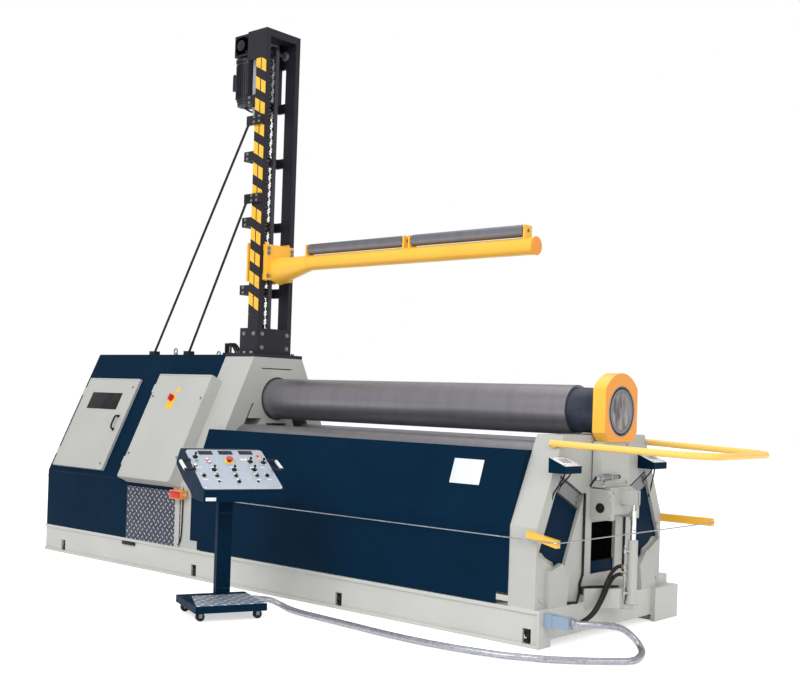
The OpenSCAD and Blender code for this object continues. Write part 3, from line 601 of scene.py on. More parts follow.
class BendingPaints(bpy.types.PropertyGroup):
    """Paint colours of the machine."""

    cream: bpy.props.FloatVectorProperty(name="Cream", description="Housings and base", subtype="COLOR",
                                         default=(0.455, 0.46, 0.435), min=0, max=1)
    navy: bpy.props.FloatVectorProperty(name="Navy", description="Cabinet, covers and console",
                                        subtype="COLOR", default=(0.0006, 0.015, 0.038), min=0, max=1)
    orange: bpy.props.FloatVectorProperty(name="Orange", description="Bearing ring's face and brackets",
                                          subtype="COLOR", default=(0.87, 0.33, 0.035), min=0, max=1)
    yellow: bpy.props.FloatVectorProperty(name="Yellow", description="Support arm, rail and ring",
                                          subtype="COLOR", default=(0.92, 0.50, 0.05), min=0, max=1)
    mast: bpy.props.FloatVectorProperty(name="Mast", description="Mast and its drive", subtype="COLOR",
                                        default=(0.018, 0.016, 0.024), min=0, max=1)
    pale_blue: bpy.props.FloatVectorProperty(name="Pale blue", description="Junction box",
                                             subtype="COLOR", default=(0.26, 0.355, 0.48), min=0, max=1)
    steel: bpy.props.FloatVectorProperty(name="Roll steel", description="Ground face of the rolls",
                                         subtype="COLOR", default=(0.235, 0.228, 0.25), min=0, max=1)


class BendingSizes(bpy.types.PropertyGroup):
    """Sizes of the small parts."""

    bolt_across: bpy.props.FloatProperty(name="Bolt head", description="Width of a mast foot bolt's head",
                                         default=0.028, min=0.01, max=0.05, unit="LENGTH")
    hose_d: bpy.props.FloatProperty(name="Hose", description="Diameter of the tilt cylinder's hoses",
                                    default=0.026, min=0.01, max=0.05, unit="LENGTH")
    rib_pitch: bpy.props.FloatProperty(name="Conduit rib", description="Pitch of the conduit's ribs",
                                       default=0.016, min=0.005, max=0.04, unit="LENGTH")
    knob_d: bpy.props.FloatProperty(name="Console knob", description="Diameter of a rotary knob",
                                    default=0.030, min=0.01, max=0.05, unit="LENGTH")


class BendingLight(bpy.types.PropertyGroup):
    """Studio light."""

    key: bpy.props.FloatProperty(name="Key", description="Power of the large front lamp", default=760.0,
                                 min=0, max=5000)
    fill: bpy.props.FloatProperty(name="Fill", description="Power of the right lamp", default=260.0,
                                  min=0, max=5000)
    world: bpy.props.FloatProperty(name="World", description="Strength of the light from all round",
                                   default=0.70, min=0, max=2)


# ---------------------------------------------------------------- operators


class BENDING_OT_finishes(bpy.types.Operator):
    """Give every solid of the machine its finish"""

    bl_idname = "bending.finishes"
    bl_label = "Finishes"

    def execute(self, context):
        make_finishes(context.scene.bending_paints)
        for finish, names in NODE_FINISHES.items():
            for name in names:
                NODES[name].material_slots[0].material = FINISHES[finish]
        return {"FINISHED"}


# The camera's place in metres, its turns in radians and its lens
CAMERA_PLACE = (5.7325, -6.8857, 1.5614)
CAMERA_YAW, CAMERA_PITCH, CAMERA_ROLL = 0.7305, -0.0103, 0.0322
CAMERA_LENS = 51.03
CAMERA_SHIFT_X, CAMERA_SHIFT_Y = 0.0375, 0.0484
FLOOR_SIZE, FLOOR_GLOW = 80, 0.56


def make_floor():
    """A pale plain floor that looks white and still takes the machine's shadow."""
    deselect()
    bpy.ops.mesh.primitive_plane_add(size=FLOOR_SIZE, location=(0, 0, -0.0005))
    floor = bpy.context.object
    floor.name = "floor"
    settle(floor)
    f = Finish("floor_paint", 0.9).mottled(0.6, 3, (0.80, 0.80, 0.80), (0.83, 0.83, 0.83))
    path = f.add("ShaderNodeLightPath").outputs
    seen = f.math("MAXIMUM", path["Is Camera Ray"], path["Is Glossy Ray"])
    seen = f.math("MAXIMUM", seen, path["Is Transmission Ray"])
    glow = f.add("ShaderNodeEmission", {"Color": (1, 1, 1, 1), "Strength": FLOOR_GLOW})
    out = f.tree.nodes["Material Output"]
    both = f.add("ShaderNodeAddShader", {0: f.shader.outputs[0], 1: glow.outputs[0]})
    choice = f.add("ShaderNodeMixShader", {0: seen, 1: f.shader.outputs[0], 2: both.outputs[0]})
    f.tree.links.new(choice.outputs[0], out.inputs["Surface"])
    floor.data.materials.append(f.material)


def make_lamps(light):
    """Three large square lamps: in front, on the right and overhead."""
    for name, place, aim, size, power in (
            ("key", (1.5, -10.5, 7.5), (-0.8, 0, 1.3), 7.0, light.key),
            ("fill", (10.5, -3.0, 5.0), (0.5, 0, 1.2), 6.0, light.fill),
            ("top", (-1.0, 1.5, 10.5), (-1.0, 0, 1.0), 8.0, light.fill * 1.2)):
        lamp = bpy.data.lights.new(name, "AREA")
        lamp.shape = "SQUARE"
        lamp.size = size
        lamp.energy = power
        obj = bpy.data.objects.new(name, lamp)
        obj.location = place
        obj.rotation_euler = (Vector(aim) - Vector(place)).to_track_quat("-Z", "Y").to_euler()
        bpy.context.scene.collection.objects.link(obj)


def make_world(strength):
    """Even light from all round, in front of a white background."""
    world = bpy.data.worlds.new("studio")
    bpy.context.scene.world = world
    world.use_nodes = True
    nodes, links = world.node_tree.nodes, world.node_tree.links
    background = nodes["Background"]
    background.inputs["Color"].default_value = (1, 1, 1, 1)
    background.inputs["Strength"].default_value = strength
    white = nodes.new("ShaderNodeBackground")
    white.inputs["Color"].default_value = (1, 1, 1, 1)
    white.inputs["Strength"].default_value = 1.0
    path = nodes.new("ShaderNodeLightPath")
    most = nodes.new("ShaderNodeMath")
    most.operation = "MAXIMUM"
    links.new(path.outputs["Is Camera Ray"], most.inputs[0])
    links.new(path.outputs["Is Transmission Ray"], most.inputs[1])
    mix = nodes.new("ShaderNodeMixShader")
    links.new(most.outputs[0], mix.inputs[0])
    links.new(background.outputs[0], mix.inputs[1])
    links.new(white.outputs[0], mix.inputs[2])
    links.new(mix.outputs[0], nodes["World Output"].inputs["Surface"])


def make_camera():
    """The camera, aimed by its yaw, pitch and roll."""
    yaw, pitch, roll = CAMERA_YAW, CAMERA_PITCH, CAMERA_ROLL
    ahead = Vector((-math.sin(yaw) * math.cos(pitch), math.cos(yaw) * math.cos(pitch), -math.sin(pitch)))
    right = Vector((math.cos(yaw), math.sin(yaw), 0))
    up = right.cross(ahead)
    side = math.cos(roll) * right + math.sin(roll) * up
    top = -math.sin(roll) * right + math.cos(roll) * up
    data = bpy.data.cameras.new("camera")
    data.sensor_width = 36
    data.lens = CAMERA_LENS
    data.shift_x = CAMERA_SHIFT_X
    data.shift_y = CAMERA_SHIFT_Y
    data.clip_end = 200
    camera = bpy.data.objects.new("camera", data)
    turn = Matrix((side, top, -ahead)).transposed().to_4x4()
    camera.matrix_world = Matrix.Translation(CAMERA_PLACE) @ turn
    bpy.context.scene.collection.objects.link(camera)
    bpy.context.scene.camera = camera


class BENDING_OT_stage(bpy.types.Operator):
    """Set the floor, the lamps and the camera"""

    bl_idname = "bending.stage"
    bl_label = "Stage"

    def execute(self, context):
        light = context.scene.bending_light
        make_floor()
        make_lamps(light)
        make_world(light.world)
        make_camera()
        context.scene.view_settings.view_transform = "Standard"
        return {"FINISHED"}


# The conduit's route in metres; it matches the route in the part's source
CONDUIT_END = console_frame() @ Vector((0.255, 0.300, 0.085))
CONDUIT_ROUTE = [
    (1.9683, -0.716, 0.186), (2.024, -0.716, 0.186), (2.084, -0.698, 0.190), (2.131, -0.658, 0.188),
    (2.159, -0.585, 0.180), (2.177, -0.517, 0.166), (2.192, -0.460, 0.143), (2.216, -0.424, 0.112),
    (2.246, -0.408, 0.080), (2.280, -0.416, 0.048), (2.320, -0.465, 0.028), (2.359, -0.560, 0.024),
    (2.384, -0.645, 0.024), (2.386, -0.712, 0.024), (2.345, -0.781, 0.024), (2.242, -0.895, 0.024),
    (2.132, -0.997, 0.024), (2.014, -1.086, 0.024), (1.889, -1.150, 0.024),
    (1.780, -1.200, 0.024), (1.500, -1.262, 0.024), (1.200, -1.290, 0.024), (0.900, -1.285, 0.024),
    (0.600, -1.260, 0.024), (0.320, -1.240, 0.024), (0.090, -1.220, 0.024), (-0.060, -1.200, 0.028),
    (-0.160, -1.202, 0.048), (-0.222, -1.242, 0.074),
    tuple(console_frame() @ Vector((0.305, 0.300, 0.085))), tuple(CONDUIT_END)]
CONDUIT_D = 0.044


def even_points(route, step):
    """Points at even steps along a smooth line through the route."""
    places = [Vector(p) for p in route]
    dense = []
    for i in range(len(places) - 1):
        a, b = places[max(i - 1, 0)], places[i]
        c, d = places[i + 1], places[min(i + 2, len(places) - 1)]
        for k in range(16):
            t = k / 16
            dense.append(0.5 * (2 * b + (c - a) * t + (2 * a - 5 * b + 4 * c - d) * t * t
                                + (3 * b - a - 3 * c + d) * t ** 3))
    dense.append(places[-1])
    out, carried = [dense[0]], 0.0
    for a, b in zip(dense, dense[1:]):
        length = (b - a).length
        while carried + length >= step:
            a = a.lerp(b, (step - carried) / length)
            length = (b - a).length
            carried = 0.0
            out.append(a.copy())
        carried += length
    out[-1] = dense[-1]
    return out


class BENDING_OT_conduit(bpy.types.Operator):
    """Lay the ribbed conduit from the base frame to the console"""

    bl_idname = "bending.conduit"
    bl_label = "Conduit"

    def execute(self, context):
        pitch = context.scene.bending_sizes.rib_pitch
        line = even_points(CONDUIT_ROUTE, pitch / 2)
        curve = bpy.data.curves.new("conduit", "CURVE")
        curve.dimensions = "3D"
        curve.bevel_depth = CONDUIT_D / 2
        curve.bevel_resolution = 3
        curve.use_fill_caps = True
        spline = curve.splines.new("POLY")
        spline.points.add(len(line) - 1)
        for i, (point, place) in enumerate(zip(spline.points, line)):
            point.co = (*place, 1)
            point.radius = 1.0 if i % 2 == 0 else 0.9
        obj = curve_mesh(curve)
        bpy.ops.object.shade_smooth()
        obj = piece("conduit_tube", [obj], "machine", "conduit")
        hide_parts("flexible_conduit")
        ends = []
        for near, far in ((line[0], line[6]), (line[-1], line[-7])):
            way = (far - near).normalized()
            ends += [rod(near, near + way * 0.022, CONDUIT_D * 0.64, 24, 0.001),
                     rod(near + way * 0.022, near + way * 0.034, CONDUIT_D * 0.60, 6, 0.0015),
                     rod(near + way * 0.034, near + way * 0.052, CONDUIT_D * 0.56, 24, 0.002)]
        fittings = piece("conduit_fittings", ends, "machine", "polished_steel")
        return {"FINISHED"}


class BENDING_OT_base(bpy.types.Operator):
    """Add nuts, pads, weld beads and the plain plate to the base frame"""

    bl_idname = "bending.base"
    bl_label = "Base frame parts"

    def execute(self, context):
        # on each levelling bolt: its pad, its nut and its square end
        parts = []
        for x in (BASE_X0 + 0.293, DRIVE_X1 - 0.088, 0.045, BASE_X1 - 0.099):
            for y in (-SIDE_Y + 0.041, SIDE_Y - 0.041):
                parts += [rod((x, y, 0), (x, y, 0.012), 0.034, 28, 0.003),
                          rod((x, y, 0.062), (x, y, 0.082), 0.027, 6, 0.002),
                          rod((x, y, 0.108), (x, y, 0.126), 0.012, 4, 0.002)]
        piece("levelling_nuts", parts, "machine", "black")
        # weld beads where the housings meet the base's top
        beads = []
        for y in (-SIDE_Y + 0.0015, SIDE_Y - 0.0015):
            for a, b in ((DRIVE_X0, DRIVE_X1), (END_X0, END_X1)):
                beads.append(rod((a + 0.01, y, BASE_H + 0.001), (b - 0.01, y, BASE_H + 0.001), 0.004, 10))
        piece("base_welds", beads, "machine", "base_cream_painted_light")
        plate = block((-2.592, -SIDE_Y - 0.004, BASE_H - 0.058), (-2.415, -SIDE_Y + 0.013, BASE_H - 0.030))
        piece("base_plate", [plate], "machine", "black")
        return {"FINISHED"}


def border(lower, upper, width, face, rise, edge, matrix):
    """Four bars round a door, sunk into its face and standing out of it by the rise."""
    (x0, s0), (x1, s1) = lower, upper
    bars = (((x0, s0), (x1, s0 + width)), ((x0, s1 - width), (x1, s1)),
            ((x0, s0), (x0 + width, s1)), ((x1 - width, s0), (x1, s1)))
    return [block((*a, face - 0.004), (*b, face + rise), edge, matrix=matrix) for a, b in bars]


def lock(x, s, face, half_x, half_s, rise, matrix):
    """A round lock with a raised bar across it."""
    return [rod((x, s, face - 0.001), (x, s, face + 0.006), 0.010, 24, 0.0015, matrix=matrix),
            block((x - half_x, s - half_s, face + 0.004), (x + half_x, s + half_s, face + rise), 0.0008,
                  matrix=matrix)]


def dress_cabinet_door(place):
    """Pressed border, plain dark plate, bow handle and two locks."""
    x0, x1 = low("cabinet_door").x + 0.009, high("cabinet_door").x
    face = 0.0223
    rims = border((x0, 0.05), (x1, 0.978), 0.012, face, 0.003, 0.002, place)
    piece("door_border", rims, "cabinet_leaf", "cream")
    plate = block((-3.590, 0.655, face - 0.001), (-3.121, 0.825, face + 0.004), matrix=place)
    piece("door_plate", [plate], "cabinet_leaf", "black")
    x = -3.030
    grip = [(x, s, face + out) for s, out in ((0.452, -0.001), (0.455, 0.030), (0.470, 0.040),
                                              (0.570, 0.040), (0.585, 0.030), (0.588, -0.001))]
    handle = [tube(grip, 0.009, matrix=place)]
    for s in (0.452, 0.588):
        handle.append(rod((x, s, face - 0.001), (x, s, face + 0.004), 0.015, 24, 0.001, matrix=place))
    piece("door_handle", handle, "cabinet_leaf", "black")
    locks = []
    for s in (0.110, 0.890):
        locks += lock(-3.000, s, face, 0.0015, 0.006, 0.0075, place)
    piece("door_locks", locks, "cabinet_leaf", "dull_steel")


def dress_electrical_door(place):
    """Border, seal, locks and the yellow plates by the main switch."""
    face = 0.1223
    x0, x1 = low("electrical_box").x + 0.001, high("electrical_box").x - 0.001
    rims = border((x0, -0.024), (x1, 0.984), 0.014, face, 0.004, 0.003, place)
    piece("electrical_border", rims, "electrical_leaf", "cream")
    seal = block((x0 - 0.0005, -0.0245, 0.0995), (x1 + 0.0005, 0.9845, 0.1035), 0.001, matrix=place)
    piece("electrical_seal", [seal], "electrical_leaf", "rubber")
    locks = []
    for x in (x1 - 0.030, x0 + 0.030):
        for s in (0.20, 0.76):
            locks += lock(x, s, face, 0.0025, 0.008, 0.0095, place)
    piece("electrical_locks", locks, "electrical_leaf", "dull_steel")
    x, s = -2.229, 0.750
    plate = block((x - 0.045, s - 0.105, face - 0.001), (x + 0.045, s + 0.045, face + 0.0002), 0.0004,
                  matrix=place)
    piece("switch_plate", [plate], "electrical_leaf", "signal_yellow")
    # bare yellow triangle above the switch
    corners = [(x + 0.010, s + 0.063), (x + 0.074, s + 0.063), (x + 0.042, s + 0.119)]
    sign = outline_plate(corners, 0.0012, 0.0003, place @ Matrix.Translation((0, 0, face - 0.001)))
    piece("sign_plate", [sign], "electrical_leaf", "signal_yellow")
    screws = [rod((x + i, s + j, face), (x + i, s + j, face + 0.004), 0.005, 16, 0.001, matrix=place)
              for i in (-0.036, 0.036) for j in (-0.036, 0.036)]
    piece("switch_screws", screws, "electrical_leaf", "chrome")


def dress_cabinet_side(place):
    """Upright bar and cable beside the tread panel, and the sheet panels' seams."""
    box_x0 = low("electrical_box").x
    lo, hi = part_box("tread_panel")
    y = lo.y
    bar = block((hi.x - 0.060, y - 0.004, lo.z), (hi.x, y + 0.004, hi.z), 0.003)
    piece("tread_frame", [bar], "machine", "cream")
    cable = tube([(hi.x + 0.030, y + 0.014, KINK_Z - 0.010), (hi.x + 0.036, y + 0.002, KINK_Z - 0.060),
                  (hi.x + 0.036, y + 0.002, lo.z + 0.110), (hi.x + 0.020, y + 0.002, lo.z + 0.040),
                  (hi.x - 0.010, y, lo.z + 0.018)], 0.006)
    piece("panel_cable", [cable], "machine", "rubber")
    # seams of the cabinet's sheet panels
    seams = [block((x, -0.060, -0.002), (x + 0.004, 1.225, 0.0012), 0.0006, matrix=place)
             for x in (BASE_X0 + 0.052, box_x0 - 0.095)]
    seams.append(block((low("power_cabinet").x + 0.004, -SIDE_Y - 0.0012, KINK_Z - 0.004),
                       (box_x0, -SIDE_Y + 0.002, KINK_Z), 0.0006))
    piece("cabinet_seams", seams, "machine", "black")


class BENDING_OT_cabinet(bpy.types.Operator):
    """Add borders, locks, the handle, the main switch's plates and seams to the power cabinet"""

    bl_idname = "bending.cabinet"
    bl_label = "Cabinet parts"

    def execute(self, context):
        place = slope_frame()
        dress_cabinet_door(place)
        dress_electrical_door(place)
        dress_cabinet_side(place)
        return {"FINISHED"}


class BENDING_OT_covers(bpy.types.Operator):
    """Add folds, screws and the bare panel to the sheet covers"""

    bl_idname = "bending.covers"
    bl_label = "Cover parts"

    def execute(self, context):
        lo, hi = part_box("front_cover")
        fold = [block((lo.x + 0.002, y, hi.z - 0.005), (hi.x - 0.002, y + 0.035, hi.z), 0.0015)
                for y in (-COVER_TOP_Y, COVER_TOP_Y - 0.035)]
        piece("cover_folds", fold, "machine", "navy")
        # screws up both covers' slopes
        rise = math.atan2(SIDE_Y + 0.006 - COVER_TOP_Y, hi.z - KINK_Z)
        up = Vector((0, math.sin(rise), math.cos(rise)))
        out = Vector((0, -math.cos(rise), math.sin(rise)))
        start = Vector((0, -SIDE_Y - 0.006, KINK_Z))
        heads = [start + up * s + Vector((x, 0, 0)) for x in (lo.x + 0.09, -0.75, 0.0, 0.75, hi.x - 0.09)
                 for s in (0.03, 0.45)]
        made = []
        for side in (-1, 1):
            turn = Vector((0, -side * out.y, out.z)).to_track_quat("Z", "Y").to_matrix().to_4x4()
            screw = rod((0, 0, -0.001), (0, 0, 0.004), 0.009, 20, 0.0015)
            made += copies(screw, [Matrix.Translation((p.x, -side * p.y, p.z)) @ turn for p in heads])
        piece("cover_screws", made, "machine", "navy")
        cover = Matrix.Translation(start) @ Matrix((Vector((1, 0, 0)), up, out)).transposed().to_4x4()
        panel = block((0.985, 0.245, 0.0), (1.235, 0.420, 0.0015), 0.0006, matrix=cover)
        piece("bare_panel", [panel], "machine", "white_lid")
        return {"FINISHED"}


class BENDING_OT_rolls(bpy.types.Operator):
    """Add centre marks, journal rings and rounded rims to the rolls"""

    bl_idname = "bending.rolls"
    bl_label = "Roll parts"

    def execute(self, context):
        x = high("top_roll").x
        marks = [ring((x, 0, TOP_ROLL_Z), X_AXIS, *sizes)
                 for sizes in ((0.030, 0.0030, 32), (0.128, 0.0022, 64), (0.075, 0.0015, 48))]
        piece("journal_marks", marks, "top_rotor", "dull_steel")
        face = rod((x - 0.002, 0, TOP_ROLL_Z), (x + 0.0010, 0, TOP_ROLL_Z), 0.1255, 64, 0.0006)
        piece("journal_face", [face], "top_rotor", "journal")
        lip = ring((high("roll_sleeve").x - 0.003, 0, TOP_ROLL_Z), X_AXIS, 0.1560, 0.0035, 72, 10)
        piece("journal_lip", [lip], "top_rotor", "black")
        shoulder = ring((ROLL_END_X - 0.003, 0, TOP_ROLL_Z), X_AXIS, 0.1715, 0.0035, 72, 10)
        piece("roll_shoulder", [shoulder], "top_rotor", "ground_steel")
        for body, node, radius, y, z in (("bottom_rotor", "bottom_roll", BOTTOM_ROLL_R, 0, BOTTOM_ROLL_Z),
                                         ("front_rotor", "side_roll_front", SIDE_ROLL_R, -GUIDE_Y, GUIDE_Z),
                                         ("rear_rotor", "side_roll_rear", SIDE_ROLL_R, GUIDE_Y, GUIDE_Z)):
            rims = [ring((end, y, z), X_AXIS, radius - 0.0045, 0.0045, 56)
                    for end in (DRIVE_X1 + 0.0088, ROLL_END_X - 0.0035)]
            piece(node + "_rims", rims, body, "ground_steel")
        # pads beside the journal's seat, on the end housing's top
        top = high("end_housing").z
        pads = [block((END_X0 + 0.060, y, top - 0.001), (END_X0 + 0.120, y + 0.030, top + 0.007))
                for y in (-0.075, 0.045)]
        piece("journal_pads", pads, "machine", "black")
        return {"FINISHED"}


class BENDING_OT_drop_end(bpy.types.Operator):
    """Add the ring's liner, the arm's bolts and step, the pin's ends and the valve's parts"""

    bl_idname = "bending.drop_end"
    bl_label = "Drop end parts"

    def execute(self, context):
        liner = [ring((x, 0, TOP_ROLL_Z), X_AXIS, 0.1690, 0.0048, 72, 10)
                 for x in (ARM_X1 - 0.002, low("drop_ring").x + 0.002)]
        piece("ring_liner", liner, "drop_end", "dull_steel")
        heads = bolts([(ARM_FACE_X, y, z) for y in (-0.150, 0.150) for z in (1.030, 1.270)], X_AXIS)
        heads += bolts([(1.887, y, 0.975) for y in (-0.115, 0.115)], X_AXIS, 0.022)
        piece("arm_bolts", heads, "drop_end", "cream")
        # a stiffening step across the arm, where its upper plate meets the hinge block
        step = block((ARM_FACE_X - 0.002, -0.184, 1.001), (ARM_FACE_X + 0.010, 0.184, 1.020), 0.003)
        piece("arm_step", [step], "drop_end", "cream")
        # hinge pin's black ends and the bolts of its lugs, front and rear
        ends, heads = [], []
        for side in (-1, 1):
            a = HINGE + Vector((0, side * 0.1845, 0))
            ends += [ring(a, Y_AXIS, 0.030, 0.004),
                     rod(a - Vector((0, side * 0.003, 0)), a, 0.016, 24, 0.001)]
            heads += bolts([(HINGE.x + 0.070, side * 0.185, HINGE.z + dz) for dz in (-0.050, 0.055)],
                           (0, side, 0), 0.018, 0.010)
        piece("pin_ends", ends, "machine", "black")
        piece("lug_bolts", heads, "machine", "cream")
        # valve body's collars, its cap and its pipe round the arm's edge
        x, z = ARM_FACE_X + 0.020, 1.070
        collars = [rod((x, y0, z), (x, y1, z), radius, sides, 0.001) for y0, y1, radius, sides in
                   ((-0.290, -0.276, 0.021, 6), (-0.235, -0.223, 0.0215, 24), (-0.110, -0.098, 0.0205, 6))]
        piece("valve_collars", collars, "drop_end", "polished_steel")
        piece("valve_cap", [rod((x, -0.006, z), (x, 0.014, z), 0.0145, 24, 0.003)], "drop_end", "rubber")
        pipe = tube([(x, -0.288, z), (x, -0.306, z), (x - 0.010, -0.312, z - 0.030),
                     (x - 0.030, -0.312, z - 0.055)], 0.007)
        piece("valve_pipe", [pipe], "drop_end", "rubber")
        return {"FINISHED"}


def by_guide(side, along, across, out):
    """A point on the end housing, up a side roll's guide, across it and out from the housing's face."""
    up = Vector((0, math.sin(SLOPE), math.cos(SLOPE)))
    level = Vector((0, math.cos(SLOPE), -math.sin(SLOPE)))
    p = Vector((END_X1, -GUIDE_Y, GUIDE_Z)) + up * along + level * across + Vector((out, 0, 0))
    return Vector((p.x, -side * p.y, p.z))


class BENDING_OT_end_housing(bpy.types.Operator):
    """Add lids, bolts, strap edges, the window's painted-shade back and its strip to the end housing"""

    bl_idname = "bending.end_housing"
    bl_label = "End housing parts"

    def execute(self, context):
        x = END_X1
        edges, heads, screws = [], [], []
        for side in (-1, 1):
            for s in (-0.262, -0.163):
                ends = [by_guide(side, s, w, -0.008) for w in (-0.149, 0.150)]
                edges.append(rod(*ends, 0.003, 10))
            heads += bolts([by_guide(side, s, w, -0.008) for w in (-0.118, 0.120) for s in (-0.235, -0.190)],
                           X_AXIS, 0.020, 0.012)
            screws += bolts([by_guide(side, s, w, -0.020) for s, w in
                             ((-0.300, -0.130), (-0.300, 0.130), (-0.640, -0.130), (-0.660, 0.130))],
                            X_AXIS, 0.014, 0.008)
        piece("strap_edges", edges, "machine", "black")
        piece("strap_bolts", heads, "machine", "dull_steel")
        piece("shield_screws", screws, "machine", "navy")

        # light lids with screws on the terminal boxes' slopes, and the boxes' cables
        lids, knobs, cables = [], [], []
        slope = math.atan2(0.052, 0.129)
        foot = GUIDE_Z - 0.049
        for side, y0 in ((-1, -GUIDE_Y - 0.357), (1, GUIDE_Y + 0.094)):
            a = Matrix.Translation((x, y0, GUIDE_Z + 0.048)) @ Matrix.Rotation(slope, 4, "Y")
            lids.append(block((0.004, 0.003, -0.001), (0.136, 0.188, 0.003), 0.0015, matrix=a))
            for u in (0.018, 0.122):
                for v in (0.014, 0.176):
                    knobs.append(rod((u, v, 0.002), (u, v, 0.006), 0.006, 16, 0.001, matrix=a))
            for v in (0.060, 0.095, 0.130):
                knobs.append(block((0.040, v - 0.008, 0.002), (0.090, v + 0.008, 0.005), 0.001, matrix=a))
            for path in (((0.055, 0.600, 0), (0.052, 0.604, -0.035), (0.015, 0.640, -0.100),
                          (-0.004, 0.662, -0.170), (-0.010, 0.640, -0.215)),
                         ((0.065, 0.545, 0), (0.060, 0.548, -0.030), (0.010, 0.556, -0.070),
                          (-0.012, 0.548, -0.100))):
                cables.append(tube([(x + dx, side * y, foot + dz) for dx, y, dz in path], 0.005))
        piece("terminal_lids", lids, "machine", "white_lid")
        piece("terminal_screws", knobs, "machine", "dull_steel")
        piece("terminal_cables", cables, "machine", "rubber")

        # inside of the middle window: a pitch-black back as painted shade inside the housing, with a navy
        # strip along its foot
        back = block((x - 0.034, -0.159, WINDOW_Z0 + 0.001), (x - 0.024, 0.159, WINDOW_Z1 - 0.001))
        piece("window_shade_back", [back], "machine", "pitch")
        strip = block((x - 0.022, -0.158, WINDOW_Z0 + 0.001), (x - 0.012, 0.158, WINDOW_Z0 + 0.085), 0.003)
        piece("window_strip", [strip], "machine", "navy")
        # bolt heads along the front and rear edges of the housing's face
        heads = bolts([(x, side * y, z) for side in (-1, 1) for y, z in
                       ((0.760, 0.300), (0.760, 0.700), (0.560, 1.290), (0.250, 1.290))], X_AXIS, 0.022)
        piece("housing_bolts", heads, "machine", "cream")
        return {"FINISHED"}


class BENDING_OT_hoses(bpy.types.Operator):
    """Add the tilt cylinder's fittings and hoses"""

    bl_idname = "bending.hoses"
    bl_label = "Tilt cylinder's hoses"

    def execute(self, context):
        hose_r = context.scene.bending_sizes.hose_d / 2
        lo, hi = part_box("tilt_barrel")
        cx, cy, r = (lo.x + hi.x) / 2, (lo.y + hi.y) / 2, (hi.x - lo.x) / 2
        collar = rod((cx, cy, lo.z), (cx, cy, lo.z + 0.024), r + 0.005, 40, 0.003)
        piece("barrel_collars", [collar], "machine", "cream")
        piece("barrel_gland", [ring((cx, cy, hi.z - 0.003), Z_AXIS, r - 0.006, 0.006, 40)], "machine", "cream")
        # ports and a bright pipe up the barrel's side
        px, py = cx - 0.030, cy - r - 0.014
        ports = (0.420, 0.475)
        fittings = [rod((px, py, z - 0.016), (px, py, z + 0.016), 0.013, 6, 0.001)
                    for z in (0.300, *ports, 0.580)]
        fittings.append(rod((px, py, 0.262), (px, py, 0.620), 0.006, 16, 0.0005))
        fittings += [rod((px, py, z), (cx, cy - r + 0.004, z), 0.010, 20, 0.001) for z in (0.300, 0.580)]
        piece("barrel_pipe", fittings, "machine", "polished_steel")
        brass = [rod((px - 0.026, py, z), (px + 0.004, py, z), 0.012, 6, 0.001) for z in ports]
        piece("barrel_ports", brass, "machine", "brass")
        hoses = []
        for k, z in enumerate(ports):
            shift = 0.028 * k
            hoses.append(tube([(px - 0.024, py, z), (px - 0.055, py - 0.006, z + 0.002),
                               (1.895, -0.135 - shift, 0.385 + shift), (1.900, -0.200 - shift, 0.310),
                               (1.888, -0.262 - shift, 0.220), (1.878, -0.335 - shift, 0.158),
                               (1.845, -0.415 - shift, 0.124), (1.785, -0.500 - shift, 0.112)],
                              hose_r, sides=8))
        piece("cylinder_hoses", hoses, "machine", "rubber")
        return {"FINISHED"}


class BENDING_OT_rail(bpy.types.Operator):
    """Add clamps, end rings, rope eyes and the switch's lid to the guard rail and the pull rope"""

    bl_idname = "bending.rail"
    bl_label = "Rail and rope parts"

    def execute(self, context):
        lo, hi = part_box("guard_rail")
        x0, half, z = lo.x, hi.y - 0.024, hi.z - 0.0245
        clamps = [block((x0 + 0.012, y, hi.z - 0.050), (x0 + 0.040, y + 0.034, hi.z - 0.004), 0.003)
                  for y in (-half - 0.012, half - 0.022)]
        piece("rail_clamps", clamps, "machine", "yellow")
        cap = rod((x0 - 0.001, -half, z), (x0 + 0.004, -half, z), 0.0215, 28, 0.002)
        piece("rail_cap", [cap], "machine", "black")
        band = rod((x0 - 0.001, half, z), (x0 + 0.050, half, z - 0.0025), 0.0248, 28, 0.001)
        piece("rail_band", [band], "machine", "rust")
        # the rope's eye and ferrule at its corner, and its eye at the switch
        x, y = END_X1 + 0.187, -SIDE_Y - 0.0503
        eyes = [ring((x - 0.018, y, ROPE_Z), Z_AXIS, 0.012, 0.003, 24),
                rod((x - 0.030, y + 0.005, ROPE_Z), (x - 0.012, y + 0.005, ROPE_Z), 0.006, 12, 0.001),
                ring((DRIVE_X1 - 0.160, y, ROPE_Z), Y_AXIS, 0.012, 0.003, 24)]
        piece("rope_eyes", eyes, "machine", "chrome")
        lo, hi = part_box("pull_switch")
        lid = block((lo.x + 0.006, lo.y - 0.003, lo.z + 0.006), (hi.x - 0.006, lo.y + 0.004, hi.z - 0.006))
        piece("switch_lid", [lid], "machine", "red")
        return {"FINISHED"}


def dress_chain():
    """Pins and side plates down both strands of the lift chain."""
    lo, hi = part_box("lift_chain")
    pitch = 0.038
    count = int((SPROCKET_Z - MAST_Z0 - 0.02) / pitch)
    links = [(x, 0, MAST_Z0 + 0.03 + pitch * k) for x in (lo.x + 0.016, hi.x - 0.016) for k in range(count)]
    pin = rod((0, -0.0235, 0), (0, 0.0235, 0), 0.0055, 10)
    piece("chain_pins", copies(pin, links), "machine", "dull_steel")
    plates = joined([block((-0.009, y, -0.017), (0.009, y + 0.0025, 0.017), 0) for y in (-0.0225, 0.0200)])
    piece("chain_plates", copies(plates, links[::2]), "machine", "black")


